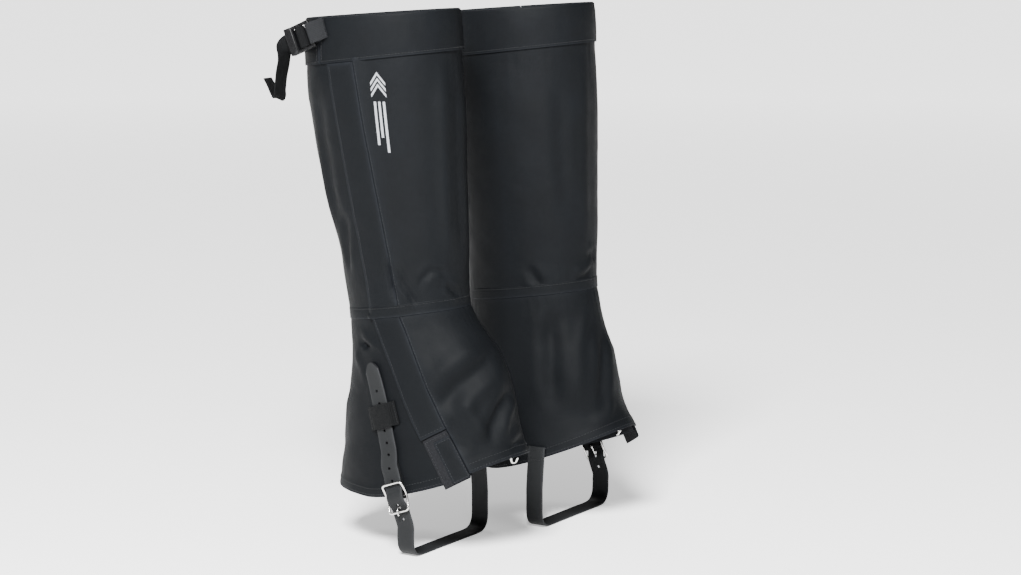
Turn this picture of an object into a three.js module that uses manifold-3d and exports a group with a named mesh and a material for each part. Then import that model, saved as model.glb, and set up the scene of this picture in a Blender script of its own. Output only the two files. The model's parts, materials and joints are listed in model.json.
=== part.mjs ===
// A pair of knee-high hiking gaiters, standing as they sit on a walker's legs.
// Millimetres, +Z up. The walker faces -Y, so the right gaiter is on the -X side. The floor is z = 0.
// Each gaiter is built as a right one, in its own pose, and the left one is then mirrored in X.
import * as THREE from 'three';
import { mergeVertices } from 'three/addons/utils/BufferGeometryUtils.js';
import Module from 'manifold-3d';

const wasm = await Module();
wasm.setup();

// ---------------------------------------------------------------- driving dimensions

const LEG_X = 82;             // each leg's axis from the pair's middle plane
const CENTRE_Y = 50.7;         // middle of the pair along Y, which becomes y = 0
const GAP = 0.35;             // clearance between flat pieces that lie on each other
const SHELL_GAP = 0.7;        // clearance between the curved shell and what is sewn over or inside it

const FABRIC = 1.4;           // shell panels
const LIGHT_FABRIC = 0.8;     // flaps, bands and tabs
const TAPE = 0.6;             // hook tape and loop tape
const WEBBING = 1.4;          // strap webbing
const WEBBING_WIDTH = 20;
const STRAP = 2;              // moulded instep strap
const STRAP_WIDTH = 19;
const HOLE_PITCH = 12.7;

const FLAP_Y = 31;            // closure flap, from its stitched line to its free edge
const MEDIAL_SEAM = -150;     // where the front and back panels are sewn, degrees from the front
const COLLAR_END = 115;       // where the collar's two ends meet

// Sleeve sections: height, front of the right one and of the left one, back of each, half width.
// The left one is slacker behind the ankle.
const UPPER_SECTIONS = [
  [228.5, 2.5, 2.5, 125.1, 141, 50],
  [260, 3, 3, 130.6, 143.5, 50.5],
  [295, 3.2, 3.2, 136.6, 146.5, 52.5],
  [330, 4.7, 4.7, 147.8, 153, 55.5],
  [370, 5.7, 5.7, 157.5, 158.5, 58],
  [410, 7.4, 7.4, 166.3, 165, 60.5],
  [450, 10.3, 10.3, 172.5, 171, 62],
  [515, 16.5, 16.5, 171, 170.5, 62],
];
const LOWER_SECTIONS = [
  [36, -84, -68, 142.8, 142.8, 62.5],
  [54, -78.5, -58, 141.3, 141.3, 62],
  [82, -68, -47, 138, 139.5, 60.5],
  [110, -57, -31, 133.5, 138, 58.5],
  [137, -51, -25, 130, 137.5, 57],
  [162, -44, -18.5, 126.8, 138, 55],
  [183, -33, -9, 124.8, 139, 53],
  [200, -18, -4, 124.2, 140, 51.5],
  [214, -6, -1, 124.6, 140.6, 50.5],
  [228.5, 2.5, 2.5, 125.1, 141, 50],
];

// The closure's stitched line: height and y, from the collar down to the hem.
const CLOSURE_LINE = [[480, 86.5], [229, 43.5], [130, -8], [60, -48.5]];
const PATCH_TOP = 126;        // the long flap ends and the hem tab's loop patch starts, at the stitched line

const HALF_WIDTH = 5;         // the sections' column of half widths

const POSES = {
  right: { front: 1, back: 3, forward: 0, lean: 0 },
  left: { front: 2, back: 4, forward: 45, lean: 1 },
};

// ---------------------------------------------------------------- small geometry helpers

const rad = THREE.MathUtils.degToRad;
const lerp = THREE.MathUtils.lerp;
const vec = (x, y, z) => new THREE.Vector3(x, y, z);

// A closed solid from points and triangles, turned the right way out.
function solid(points, faces) {
  let volume = 0;
  for (let i = 0; i < faces.length; i += 3) {
    const [a, b, c] = [points[faces[i]], points[faces[i + 1]], points[faces[i + 2]]];
    volume += a.dot(b.clone().cross(c));
  }
  const index = volume > 0 ? faces : faces.slice().reverse();
  const geometry = new THREE.BufferGeometry();
  geometry.setAttribute('position', new THREE.Float32BufferAttribute(points.flatMap((p) => p.toArray()), 3));
  geometry.setIndex(index);
  return geometry;
}

// The solid between two surfaces of u and v in 0..1. A ring closes on itself along u.
function slab(outer, inner, columns, rows, ring = false) {
  const points = [];
  const faces = [];
  const across = ring ? columns : columns + 1;
  for (const surface of [outer, inner]) {
    for (let i = 0; i < across; i++) {
      for (let j = 0; j <= rows; j++) points.push(surface(i / columns, j / rows));
    }
  }
  const at = (layer, i, j) => (layer * across + (i % across)) * (rows + 1) + j;
  const quad = (a, b, c, d) => faces.push(a, b, c, a, c, d);
  for (let i = 0; i < columns; i++) {
    for (let j = 0; j < rows; j++) {
      quad(at(0, i, j), at(0, i + 1, j), at(0, i + 1, j + 1), at(0, i, j + 1));
      quad(at(1, i, j), at(1, i, j + 1), at(1, i + 1, j + 1), at(1, i + 1, j));
    }
    quad(at(0, i, 0), at(1, i, 0), at(1, i + 1, 0), at(0, i + 1, 0));
    quad(at(0, i, rows), at(0, i + 1, rows), at(1, i + 1, rows), at(1, i, rows));
  }
  for (let j = 0; !ring && j < rows; j++) {
    quad(at(0, 0, j), at(0, 0, j + 1), at(1, 0, j + 1), at(1, 0, j));
    quad(at(0, columns, j), at(1, columns, j), at(1, columns, j + 1), at(0, columns, j + 1));
  }
  return solid(points, faces);
}

// A solid through a row of convex sections with equal point counts, capped, or closed into a ring.
function loft(sections, ring = false) {
  const sides = sections[0].length;
  const points = sections.flat();
  const faces = [];
  const spans = ring ? sections.length : sections.length - 1;
  for (let i = 0; i < spans; i++) {
    const a = i * sides;
    const b = ((i + 1) % sections.length) * sides;
    for (let k = 0; k < sides; k++) {
      const n = (k + 1) % sides;
      faces.push(a + k, a + n, b + n, a + k, b + n, b + k);
    }
  }
  const last = (sections.length - 1) * sides;
  for (let k = 1; !ring && k < sides - 1; k++) {
    faces.push(0, k + 1, k, last, last + k, last + k + 1);
  }
  return solid(points, faces);
}

const smooth = (path) => new THREE.CatmullRomCurve3(path, false, 'centripetal');

// Flat strap along a curve. across lists its width directions, evenly spread along the curve.
// A shape (u, v) may slide a point along the strap or narrow it; v runs from -1 to 1 across.
function ribbon(curve, across, width, thickness, steps, rows = 1, shape = () => ({})) {
  const face = (offset) => (u, v) => {
    const t = u * (across.length - 1);
    const i = Math.min(Math.floor(t), across.length - 2);
    const side = across[i].clone().lerp(across[i + 1], t - i).normalize();
    const along = curve.getTangent(u);
    side.addScaledVector(along, -side.dot(along)).normalize();
    const { slide = 0, narrow = 1 } = shape(u, 2 * v - 1);
    return curve.getPoint(u).addScaledVector(along, slide)
      .addScaledVector(side, (v - 0.5) * width * narrow)
      .addScaledVector(side.clone().cross(along), offset);
  };
  return slab(face(thickness / 2), face(-thickness / 2), steps, rows);
}

// Round wire along a smooth open path.
function wire(path, radius, steps, sides = 6) {
  const section = new THREE.Shape();
  for (let k = 0; k < sides; k++) {
    const angle = (2 * Math.PI * k) / sides;
    section[k ? 'lineTo' : 'moveTo'](radius * Math.cos(angle), radius * Math.sin(angle));
  }
  return new THREE.ExtrudeGeometry(section, { steps, extrudePath: smooth(path), bevelEnabled: false });
}

// A box given by its size and centre, in a local frame.
const box = (x, y, z, centre = [0, 0, 0]) => new THREE.BoxGeometry(x, y, z).translate(...centre);

// Several places are easiest to say in a local frame: an origin and three unit directions.
function basis(origin, x, y, z) {
  return new THREE.Matrix4().makeBasis(x, y, z).setPosition(origin);
}

function toManifold(geometry) {
  const bare = geometry.clone();
  bare.deleteAttribute('normal');
  bare.deleteAttribute('uv');
  const merged = mergeVertices(bare, 1e-4);
  return new wasm.Manifold(new wasm.Mesh({
    numProp: 3,
    vertProperties: new Float32Array(merged.attributes.position.array),
    triVerts: new Uint32Array(merged.index.array),
  }));
}

function fromManifold(body) {
  const mesh = body.getMesh();
  const geometry = new THREE.BufferGeometry();
  geometry.setAttribute('position', new THREE.Float32BufferAttribute(mesh.vertProperties, 3));
  geometry.setIndex(Array.from(mesh.triVerts));
  return geometry;
}

function join(...geometries) {
  return fromManifold(geometries.map(toManifold).reduce((a, b) => a.add(b)));
}

function cut(geometry, tools) {
  return fromManifold(tools.map(toManifold).reduce((body, tool) => body.subtract(tool), toManifold(geometry)));
}

// ---------------------------------------------------------------- the sleeve's surface

// One column of a section table at a height, on a smooth curve through the rows.
function sectionValue(rows, height, column) {
  let i = rows.findIndex((row) => row[0] > height) - 1;
  if (i === -2) i = rows.length - 2;
  i = Math.max(i, 0);
  const slope = (k) => {
    const a = rows[Math.max(k - 1, 0)];
    const b = rows[Math.min(k + 1, rows.length - 1)];
    return (b[column] - a[column]) / (b[0] - a[0]);
  };
  const [low, high] = [rows[i], rows[i + 1]];
  const span = high[0] - low[0];
  const t = THREE.MathUtils.clamp((height - low[0]) / span, -0.5, 1.5);
  const h = [2 * t ** 3 - 3 * t ** 2 + 1, t ** 3 - 2 * t ** 2 + t, -2 * t ** 3 + 3 * t ** 2, t ** 3 - t ** 2];
  return h[0] * low[column] + h[1] * span * slope(i) + h[2] * high[column] + h[3] * span * slope(i + 1);
}

// Levels tilt: each is a height that changes round the leg. Angles run from the front, lateral positive.
const tilted = (middle, rise) => (angle) => middle + rise * Math.cos(rad(angle));
const SEAM_MIDDLE = 228.5;
const SEAM_RISE = 9.5;
const collarTop = tilted(515, 6);
const collarLow = tilted(472, 10);
const midSeam = tilted(SEAM_MIDDLE, SEAM_RISE);
const HEM_LOW = 51;
const HEM_RISE = 44;
const HEM_FLAT = 115;         // the hem is level behind this angle and rises in front of it
const FRONT_HEM_STEP = 4;     // the front panel is this much shorter where it meets the closure
const backHem = (angle) => {
  const turn = THREE.MathUtils.euclideanModulo(angle + 180, 360) - 180;
  const reach = Math.min(Math.abs(turn) / HEM_FLAT, 1);
  return HEM_LOW + HEM_RISE * Math.cos(reach * Math.PI / 2) ** 1.5;
};
const frontHem = (angle) => backHem(angle)
  + FRONT_HEM_STEP * THREE.MathUtils.smoothstep(angle, MEDIAL_SEAM, MEDIAL_SEAM + 90);

function lineY(height) {
  const k = height > CLOSURE_LINE[1][0] ? 0 : height > CLOSURE_LINE[2][0] ? 1 : 2;
  const [[z0, y0], [z1, y1]] = [CLOSURE_LINE[k], CLOSURE_LINE[k + 1]];
  return lerp(y0, y1, (height - z0) / (z1 - z0));
}

// A point `out` millimetres outside the sleeve's outer face, at an angle round the leg and a height.
function sleevePoint(pose, angle, height, out = 0) {
  const level = height - SEAM_RISE * Math.cos(rad(angle));
  const rows = level < SEAM_MIDDLE ? LOWER_SECTIONS : UPPER_SECTIONS;
  const front = sectionValue(rows, level, pose.front);
  const back = sectionValue(rows, level, pose.back);
  const half = sectionValue(rows, level, HALF_WIDTH);
  const lean = pose.forward + Math.tan(rad(pose.lean)) * (height - 100);
  return vec(
    -LEG_X - (half + out) * Math.sin(rad(angle)),
    (front + back) / 2 - ((back - front) / 2 + out) * Math.cos(rad(angle)) - lean - CENTRE_Y,
    height,
  );
}

// The angle at which the sleeve's lateral side passes y, given as on an upright right gaiter.
function angleAt(pose, y, height) {
  let [low, high] = [10, 170];
  const upright = { ...pose, forward: 0, lean: 0 };
  for (let i = 0; i < 24; i++) {
    const middle = (low + high) / 2;
    if (sleevePoint(upright, middle, height).y + CENTRE_Y > y) high = middle;
    else low = middle;
  }
  return (low + high) / 2;
}

const sidePoint = (pose, y, height, out) => sleevePoint(pose, angleAt(pose, y, height), height, out);

// A layer of the sleeve between two edges (angles or functions of height) and two levels.
function layer(pose, from, to, low, high, inside, outside, columns, rows) {
  const value = (edge, height) => (typeof edge === 'function' ? edge(height) : edge);
  const face = (out) => (u, v) => {
    let angle = value(from, 200);
    let height = 200;
    for (let i = 0; i < 6; i++) {
      height = lerp(low(angle), high(angle), v);
      angle = lerp(value(from, height), value(to, height), u);
    }
    return sleevePoint(pose, angle, height, out);
  };
  return slab(face(outside), face(inside), columns, rows);
}

// ---------------------------------------------------------------- materials

const finish = (color, roughness, metalness = 0) => ({ color, roughness, metalness });
const FINISHES = {
  shell: finish(0x34373c, 0.85),
  binding: finish(0x2c2f33, 0.8),
  webbing: finish(0x232427, 0.8),
  hook_tape: finish(0x1b1c1f, 0.95),
  loop_tape: finish(0x25272a, 0.95),
  strap: finish(0x3e3f41, 0.6),
  plastic: finish(0x1d1e20, 0.45),
  nickel: finish(0xd6d6d4, 0.25, 1),
};

const gaiters = new THREE.Group();

function add(side, name, geometry, slot) {
  const mesh = new THREE.Mesh(geometry, new THREE.MeshStandardMaterial(FINISHES[slot]));
  mesh.name = `${side}_${name}`;
  if (side === 'left') mesh.scale.x = -1;
  gaiters.add(mesh);
}

// ---------------------------------------------------------------- fabric

const FRONT_COLUMNS = 18;
const BACK_COLUMNS = 10;
const above = (level, by) => (angle) => level(angle) + by;
const closureEdge = (pose, shift = 0) => (height) => angleAt(pose, lineY(height) + shift, height);

function addPanels(side, pose) {
  const edge = GAP / 2;
  const line = closureEdge(pose, -edge);
  const under = closureEdge(pose, edge);
  const sewn = MEDIAL_SEAM + 0.2;
  const sewnBack = MEDIAL_SEAM + 360 - 0.2;
  const top = above(collarLow, -GAP);
  const overSeam = above(midSeam, edge);
  const underSeam = above(midSeam, -edge);
  const panel = (from, to, low, high, columns, rows) =>
    layer(pose, from, to, low, high, -FABRIC, 0, columns, rows);
  add(side, 'upper_front_panel', panel(sewn, line, overSeam, top, FRONT_COLUMNS, 5), 'shell');
  add(side, 'upper_back_panel', panel(under, sewnBack, overSeam, top, BACK_COLUMNS, 5), 'shell');
  add(side, 'lower_front_panel', panel(sewn, line, frontHem, underSeam, FRONT_COLUMNS, 7), 'shell');
  add(side, 'lower_back_panel', panel(under, sewnBack, backHem, underSeam, BACK_COLUMNS, 7), 'shell');
}

function addSeamAndHem(side, pose) {
  const halfSeam = 3;
  const seamFace = (out) => (u, v) => {
    const angle = 360 * u;
    return sleevePoint(pose, angle, midSeam(angle) + lerp(-halfSeam, halfSeam, v), out);
  };
  const seam = slab(seamFace(SHELL_GAP + LIGHT_FABRIC), seamFace(SHELL_GAP), 36, 2, true);
  add(side, 'mid_seam', seam, 'shell');
  // the hem's tape runs inside both lower panels, from one side of the closure round to the other
  const tapeLow = 1;
  const tapeHigh = 10;
  const columns = BACK_COLUMNS + FRONT_COLUMNS;
  const hemFace = (depth) => (u, v) => {
    const i = Math.round(u * columns);
    const inBack = i < BACK_COLUMNS;
    const seamAngle = MEDIAL_SEAM + 360;
    const closure = angleAt(pose, lineY(70), 70);
    const angle = inBack ? lerp(closure + 1, seamAngle, i / BACK_COLUMNS)
      : lerp(seamAngle, closure + 359, (i - BACK_COLUMNS) / FRONT_COLUMNS);
    const low = inBack ? backHem(angle) : frontHem(angle - 360);
    return sleevePoint(pose, angle, low + lerp(tapeLow, tapeHigh, v), -depth);
  };
  const depth = FABRIC + 1.5 * SHELL_GAP;
  add(side, 'hem', slab(hemFace(depth), hemFace(depth + LIGHT_FABRIC), columns, 1), 'binding');
}

// The collar is a folded band: an outer and an inner wall joined along the top, open below.
const COLLAR_WALL = 0.8;
const COLLAR_OUT = 1.8;
const COLLAR_IN = -3;

function collarSolid(pose, from, to, columns) {
  const fold = (inset) => (u, v) => {
    const angle = lerp(from, to, u);
    const [low, high] = [collarLow(angle), collarTop(angle) - inset];
    const [outer, inner] = [COLLAR_OUT - inset, COLLAR_IN + inset];
    const stops = [[outer, low], [outer, (low + high) / 2], [outer, high], [inner, high],
      [inner, (low + high) / 2], [inner, low]];
    const [out, height] = stops[Math.round(v * (stops.length - 1))];
    return sleevePoint(pose, angle, height, out);
  };
  return slab(fold(0), fold(COLLAR_WALL), columns, 5);
}

// The collar strap leaves its tunnel through a slot in the back part of the outer wall.
const SLOT_ANGLE = 162;
const SLOT_HEIGHT = 24;

function addCollar(side, pose) {
  const meet = 0.3;
  const front = collarSolid(pose, MEDIAL_SEAM + 0.2, COLLAR_END - meet, 26);
  const back = collarSolid(pose, COLLAR_END + meet, MEDIAL_SEAM + 360 - 0.2, 9);
  const at = sleevePoint(pose, SLOT_ANGLE, collarStrapHeight(SLOT_ANGLE), COLLAR_OUT);
  const slot = box(14, 3.2, SLOT_HEIGHT).rotateZ(rad(22)).translate(at.x, at.y, at.z);
  add(side, 'collar_front', front, 'shell');
  add(side, 'collar_back', cut(back, [slot]), 'shell');
}

// ---------------------------------------------------------------- closure

// Layers over the shell: loop tape, hook tape, flap.
const LOOP_LEVEL = SHELL_GAP;
const HOOK_LEVEL = LOOP_LEVEL + TAPE + GAP;
const FLAP_LEVEL = HOOK_LEVEL + TAPE + 1.5 * GAP;
const TAPE_INSET = 2.5;

// A patch of the closure between two fractions of the flap's width, with square ends.
function closureStrip(pose, from, to, topAtLine, bottomAtLine, level, thickness, rows) {
  const width = (to - from) * FLAP_Y;
  const face = (out) => (u, v) => {
    const zLine = lerp(topAtLine, bottomAtLine, v);
    const slope = (lineY(zLine + 4) - lineY(zLine - 4)) / 8;
    const reach = (from * FLAP_Y + u * width) / (1 + slope * slope);
    return sidePoint(pose, lineY(zLine) + reach, zLine - slope * reach, out);
  };
  return slab(face(level + thickness), face(level), 3, rows);
}

const SEAM_CLEAR = 4;         // closure pieces stop this far from the mid seam
const seamAtLine = SEAM_MIDDLE + SEAM_RISE * Math.cos(rad(74));
const CLOSURE_TOP = 468;
const TAB_TOP = PATCH_TOP - 5;
const TAB_LOW = 83;

function addClosure(side, pose) {
  const inset = TAPE_INSET / FLAP_Y;
  const upper = [CLOSURE_TOP, seamAtLine + SEAM_CLEAR + 1];
  const lower = [seamAtLine - SEAM_CLEAR - 1, PATCH_TOP + 1];
  const strip = (span, from, to, level, thickness, rows) =>
    closureStrip(pose, from, to, span[0], span[1], level, thickness, rows);
  const shorter = ([top, bottom]) => [top - TAPE_INSET, bottom + TAPE_INSET];
  for (const [name, span, rows] of [['upper', upper, 6], ['lower', lower, 5]]) {
    add(side, `${name}_loop_tape`, strip(shorter(span), inset, 1 - inset, LOOP_LEVEL, TAPE, rows), 'loop_tape');
    add(side, `${name}_hook_tape`, strip(shorter(span), inset, 1 - inset, HOOK_LEVEL, TAPE, rows), 'hook_tape');
    add(side, `${name}_flap`, strip(span, 0, 1, FLAP_LEVEL, LIGHT_FABRIC, rows), 'shell');
  }
  add(side, 'hem_loop_patch', strip([PATCH_TOP, TAB_LOW - 1], 0.03, 0.97, LOOP_LEVEL, TAPE, 4), 'loop_tape');
  add(side, 'hem_tab', strip([TAB_TOP, TAB_LOW], 0, 0.62, HOOK_LEVEL, LIGHT_FABRIC, 4), 'shell');
}

// ---------------------------------------------------------------- top buckle and collar strap

const LOCK_LENGTH = 28;
const LOCK_WIDTH = 27;
const LOCK_THICK = 3.2;
const LOCK_DROOP = 22.6;
const LOCK_BAR = [-64, 132.4, 497.4];    // middle of the fixed bar, from the leg's axis
const BAR_HALF = 1.3;                    // half the fixed bar's width
const LOCK_RAIL = 2.5;                   // width of the lock's side rails
const LOCK_SLOTS = [[BAR_HALF, 9.2], [12.4, 18.8]];                    // where each slot starts and ends
const LIP = { length: 6.5, thick: 1.6, rise: 20, along: 23.4, out: 2.2 };  // thumb lip at the free end
const LOOP_R = 3.15;                     // the webbing loop's turn round the fixed bar
const TAIL_HINGE = 27.8;                 // where the strap's tail starts to swing, along the lock
const TAIL_LEVEL = -2.8;

// Local frame of the lock: x along it from the fixed bar, y down its bars, z away from the leg.
function lockFrame(pose) {
  const [x, y, z] = LOCK_BAR;
  const along = vec(0, Math.cos(rad(LOCK_DROOP)), -Math.sin(rad(LOCK_DROOP)));
  const outward = vec(-1, 0, 0);
  const lean = pose.forward + Math.tan(rad(pose.lean)) * (z - 100);
  return basis(vec(-LEG_X + x, y - lean - CENTRE_Y, z), along, outward.clone().cross(along), outward);
}

// Webbing whose route is given in the lock's frame, as points (along, outward, tilt of the width).
function lockWebbing(pose, route, steps) {
  const frame = lockFrame(pose);
  const path = route.map(([along, out]) => vec(along, 0, out).applyMatrix4(frame));
  const across = route.map(([, , tilt = 0]) => vec(0, 1, tilt).normalize().transformDirection(frame));
  return ribbon(smooth(path), across, WEBBING_WIDTH, WEBBING, steps);
}

function addLock(side, pose) {
  const slotWidth = LOCK_WIDTH - 2 * LOCK_RAIL;
  const body = box(LOCK_LENGTH, LOCK_WIDTH, LOCK_THICK, [LOCK_LENGTH / 2 - BAR_HALF, 0, 0]);
  const slots = LOCK_SLOTS.map(([from, to]) =>
    box(to - from, slotWidth, 2 * LOCK_THICK, [(from + to) / 2, 0, 0]));
  const lip = box(LIP.length, LOCK_WIDTH, LIP.thick).rotateY(rad(-LIP.rise)).translate(LIP.along, 0, LIP.out);
  const lock = join(cut(body, slots), lip).applyMatrix4(lockFrame(pose));
  add(side, 'ladder_lock', lock, 'plastic');
  const diagonal = LOOP_R * Math.SQRT1_2;
  const onCollar = -3.05;     // the loop's inner leg lies on the collar, its outer leg on that
  const tilt = 0.12;
  const loopRoute = [[-13, onCollar + WEBBING + GAP, tilt], [-8, -0.4, tilt], [-3.5, 2.3], [0, LOOP_R],
    [diagonal, diagonal], [LOOP_R, 0], [diagonal, -diagonal], [0, -LOOP_R], [-4, -3.3, tilt / 2],
    [-8.5, -3.2, tilt], [-13, onCollar, tilt]];
  add(side, 'buckle_loop', lockWebbing(pose, loopRoute, 18), 'webbing');
  const wrapRoute = [[22, -4.8], [12, -4.7], [8, -3.4], [6.4, 0], [7.6, 2.2], [10.8, 2.8], [14, 2.2],
    [15.6, 0], [17.4, -2.1], [20, TAIL_LEVEL], [23, TAIL_LEVEL], [TAIL_HINGE - 0.9, TAIL_LEVEL]];
  add(side, 'lock_webbing', lockWebbing(pose, wrapRoute, 18), 'webbing');
}

// The tail's route from its start: along, across and out of the lock, then as it hangs, in plain x, y, z.
const TAIL_LEAVES = [[0, 0, 0], [3, 0.2, 0], [6.5, 1.8, 0.1], [10, 5.5, 0.4], [14, 13, 0.8]];
const TAIL_HANGS = [[-1, 11.5, -31], [-1, 13.2, -43], [-0.8, 14.2, -50.5], [-0.9, 16.4, -53.4],
  [-1.4, 18.4, -50.5], [-2.2, 22.4, -42], [-3.2, 26.9, -34]];
const TAIL_TURNS = [0, 0.12, 0.4, 0.75, 0.95, 1, 1, 1, 1, 1, 1, 1];     // share of the twist at each point

// The tail leaves along the lock, twists as it droops, and ends in a stitched fold that turns back up.
function addTail(side, pose) {
  const frame = lockFrame(pose);
  const start = vec(TAIL_HINGE + 0.9, 0, TAIL_LEVEL);
  const local = TAIL_LEAVES.map((p) => vec(...p).add(start).applyMatrix4(frame));
  const origin = start.clone().applyMatrix4(frame);
  const hang = TAIL_HANGS.map((p) => vec(...p).add(origin));
  const alongBar = vec(0, 1, 0).transformDirection(frame);
  const edgeOn = vec(0.95, 0.1, -0.3);
  const across = TAIL_TURNS.map((turn) => alongBar.clone().lerp(edgeOn, turn).normalize());
  add(side, 'strap_tail', ribbon(smooth([...local, ...hang]), across, WEBBING_WIDTH, WEBBING, 26), 'webbing');
}

const STRAP_LEVEL = (COLLAR_OUT + COLLAR_IN) / 2;
const collarStrapHeight = (angle) => (collarLow(angle) + collarTop(angle) - COLLAR_WALL) / 2 + 1;

// Where the strap leaves the tunnel: degrees from the slot, and level off the sleeve.
const STRAP_LEAVES = [[9, STRAP_LEVEL + 0.2], [3, 0.4], [-3, 3.2], [-10, 9]];

// The strap lies in the collar's tunnel from near the buckle loop, round the leg, to the slot.
function addCollarStrap(side, pose) {
  const path = [];
  const across = [];
  const put = (angle, out) => {
    const reach = (up) => sleevePoint(pose, angle, collarStrapHeight(angle) + up, out);
    path.push(reach(0));
    across.push(reach(WEBBING_WIDTH / 2).sub(reach(-WEBBING_WIDTH / 2)).normalize());
  };
  for (let angle = COLLAR_END - 4; angle > SLOT_ANGLE - 360 + 14; angle -= 12) put(angle, STRAP_LEVEL);
  for (const [from, out] of STRAP_LEAVES) put(SLOT_ANGLE + from - 360, out);
  add(side, 'collar_strap', ribbon(smooth(path), across, WEBBING_WIDTH, WEBBING, 38), 'webbing');
}

// ---------------------------------------------------------------- instep strap and its buckle

// Local frame of the buckle, centred on the shell under its middle bar:
// x forward along the bar, y up the strap, z away from the leg.
const BUCKLE = { y: 35.5, z: 57.5, slant: 19 };
const BAR_R = 1.2;
const FRAME_HALF = 14;        // middle bar to each outer bar
const FRAME_INNER = 20.6;
const MIDDLE_BAR = 3.9;       // height of the middle bar over the shell
const OUTER_BAR = 7.3;
const STRAP_LOW = 2.8;        // the strap's under face where it passes the outer bars
const STRAP_HUMP = 4.4;       // and its rise over the middle bar
const PRONG_HOLE = -8.3;      // along the strap from the middle bar
const PRONG_SLOT = [7, 3.2];  // the hole that the prong passes through, length and width
const HOLE = 3;               // the other holes' diameter
const FIRST_HOLE = 2;         // counted up the strap from the prong's
const LAST_HOLE = 9;
const TOP_SLANT = 24;         // the strap leans back more towards its tip

function buckleFrame(pose) {
  const lean = pose.forward + Math.tan(rad(pose.lean)) * (BUCKLE.z - 100);
  const shell = sidePoint(pose, BUCKLE.y, BUCKLE.z, 0);
  const up = vec(0, Math.sin(rad(BUCKLE.slant)), Math.cos(rad(BUCKLE.slant)));
  const outward = vec(-1, 0, 0);
  return basis(vec(shell.x, BUCKLE.y - lean - CENTRE_Y, BUCKLE.z), up.clone().cross(outward), up, outward);
}

const strapUnderside = (along) => (Math.abs(along) < FRAME_HALF
  ? STRAP_LOW + STRAP_HUMP * Math.cos((Math.PI * along) / (2 * FRAME_HALF)) ** 2
  : STRAP_LOW);

// On the shell, straight up from the buckle at the strap's slant.
function aboveBuckle(pose, along, out) {
  const [sin, cos] = [Math.sin(rad(BUCKLE.slant)), Math.cos(rad(BUCKLE.slant))];
  return sidePoint(pose, BUCKLE.y + along * sin, BUCKLE.z + along * cos, out);
}

// The strap's route up the sleeve above the buckle: y, height and lift off the shell, to the tip.
const STRAP_ROUTE = [[46.5, 99, 2.6], [50.8, 112, 1.6], [56, 130, 0.9], [61.5, 147, 0.8], [67.5, 163, 0.8],
  [76, 182, 0.8]];
const JOINT_DROP = -29;       // where the sole loop's strap starts to swing, along the strap
const JOINT_R = STRAP_WIDTH / 2;
const JOINT_HOLLOW = JOINT_R + 0.6;
const HOLLOW_WIDTH = 0.76;    // the fixed end narrows so that the loop can swing past its corners

// How far a fixed strap end reaches past its middle, hollowed round the swing joint.
const hollowEnd = (v) => Math.sqrt(JOINT_HOLLOW ** 2 - (v * JOINT_R * HOLLOW_WIDTH) ** 2) - JOINT_HOLLOW;

function lateralStrap(pose) {
  const frame = buckleFrame(pose);
  const path = [];
  const across = [];
  for (const along of [JOINT_DROP + JOINT_HOLLOW, -15, -11.5, -8, -4, 0, 4, 8, 11.5, 15]) {
    path.push(vec(0, along, strapUnderside(along) + STRAP / 2).applyMatrix4(frame));
    across.push(vec(1, 0, 0).transformDirection(frame));
  }
  for (const along of [22, 31]) {
    path.push(aboveBuckle(pose, along, STRAP_LOW + STRAP / 2));
    across.push(vec(1, 0, 0).transformDirection(frame));
  }
  STRAP_ROUTE.forEach(([y, z, lift], i) => {
    const slant = rad(lerp(BUCKLE.slant, TOP_SLANT, i / (STRAP_ROUTE.length - 1)));
    const reach = (far) => sidePoint(pose, y - far * Math.cos(slant), z + far * Math.sin(slant), lift);
    path.push(sidePoint(pose, y, z, lift + STRAP / 2));
    across.push(reach(JOINT_R).sub(reach(-JOINT_R)).normalize());
  });
  return { curve: smooth(path), across };
}

// A many-sided pin to punch a hole of a given length and width, at a place on a strap.
function punch(place, length, width) {
  const pin = new THREE.CylinderGeometry(width / 2, width / 2, 12, 8).rotateX(Math.PI / 2);
  return pin.scale(1, length / width, 1).applyMatrix4(place);
}

function addInstepStrap(side, pose) {
  const { curve, across } = lateralStrap(pose);
  const steps = 38;
  const tipStart = 0.93;
  const tipRise = 9;
  const strap = ribbon(curve, across, STRAP_WIDTH, STRAP, steps, 4, (u, v) => {
    const toTip = Math.max(0, (u - tipStart) / (1 - tipStart));
    return u === 0 ? { slide: hollowEnd(v), narrow: HOLLOW_WIDTH } : { slide: -tipRise * v * v * toTip };
  });
  const length = curve.getLength();
  const start = -(JOINT_DROP + JOINT_HOLLOW);
  const arcExtra = 2.4;       // the strap's extra length where it rises over the middle bar
  const holes = [];
  for (let k = FIRST_HOLE; k <= LAST_HOLE; k++) {
    const t = (start + PRONG_HOLE + arcExtra + HOLE_PITCH * k) / length;
    const point = curve.getPointAt(t);
    const along = curve.getTangentAt(t);
    const sideways = vec(0, -along.z, along.y).normalize();
    holes.push(punch(basis(point, sideways, along, sideways.clone().cross(along)), HOLE, HOLE));
  }
  const prongPlace = buckleFrame(pose).multiply(new THREE.Matrix4().setPosition(0, PRONG_HOLE, 5));
  holes.push(punch(prongPlace, ...PRONG_SLOT));
  add(side, 'instep_strap', cut(strap, holes), 'strap');
}

// The loop under the foot hangs between two round-ended joints on one cross axis.
const SOLE_BEND = 16;
const MEDIAL_STRAP_X = -LEG_X + 66;
const MEDIAL_TOP = 82;        // top of the strap's sewn end on the medial side

function swingPoint(pose) {
  return vec(0, JOINT_DROP, STRAP_LOW + STRAP / 2).applyMatrix4(buckleFrame(pose));
}

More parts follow.
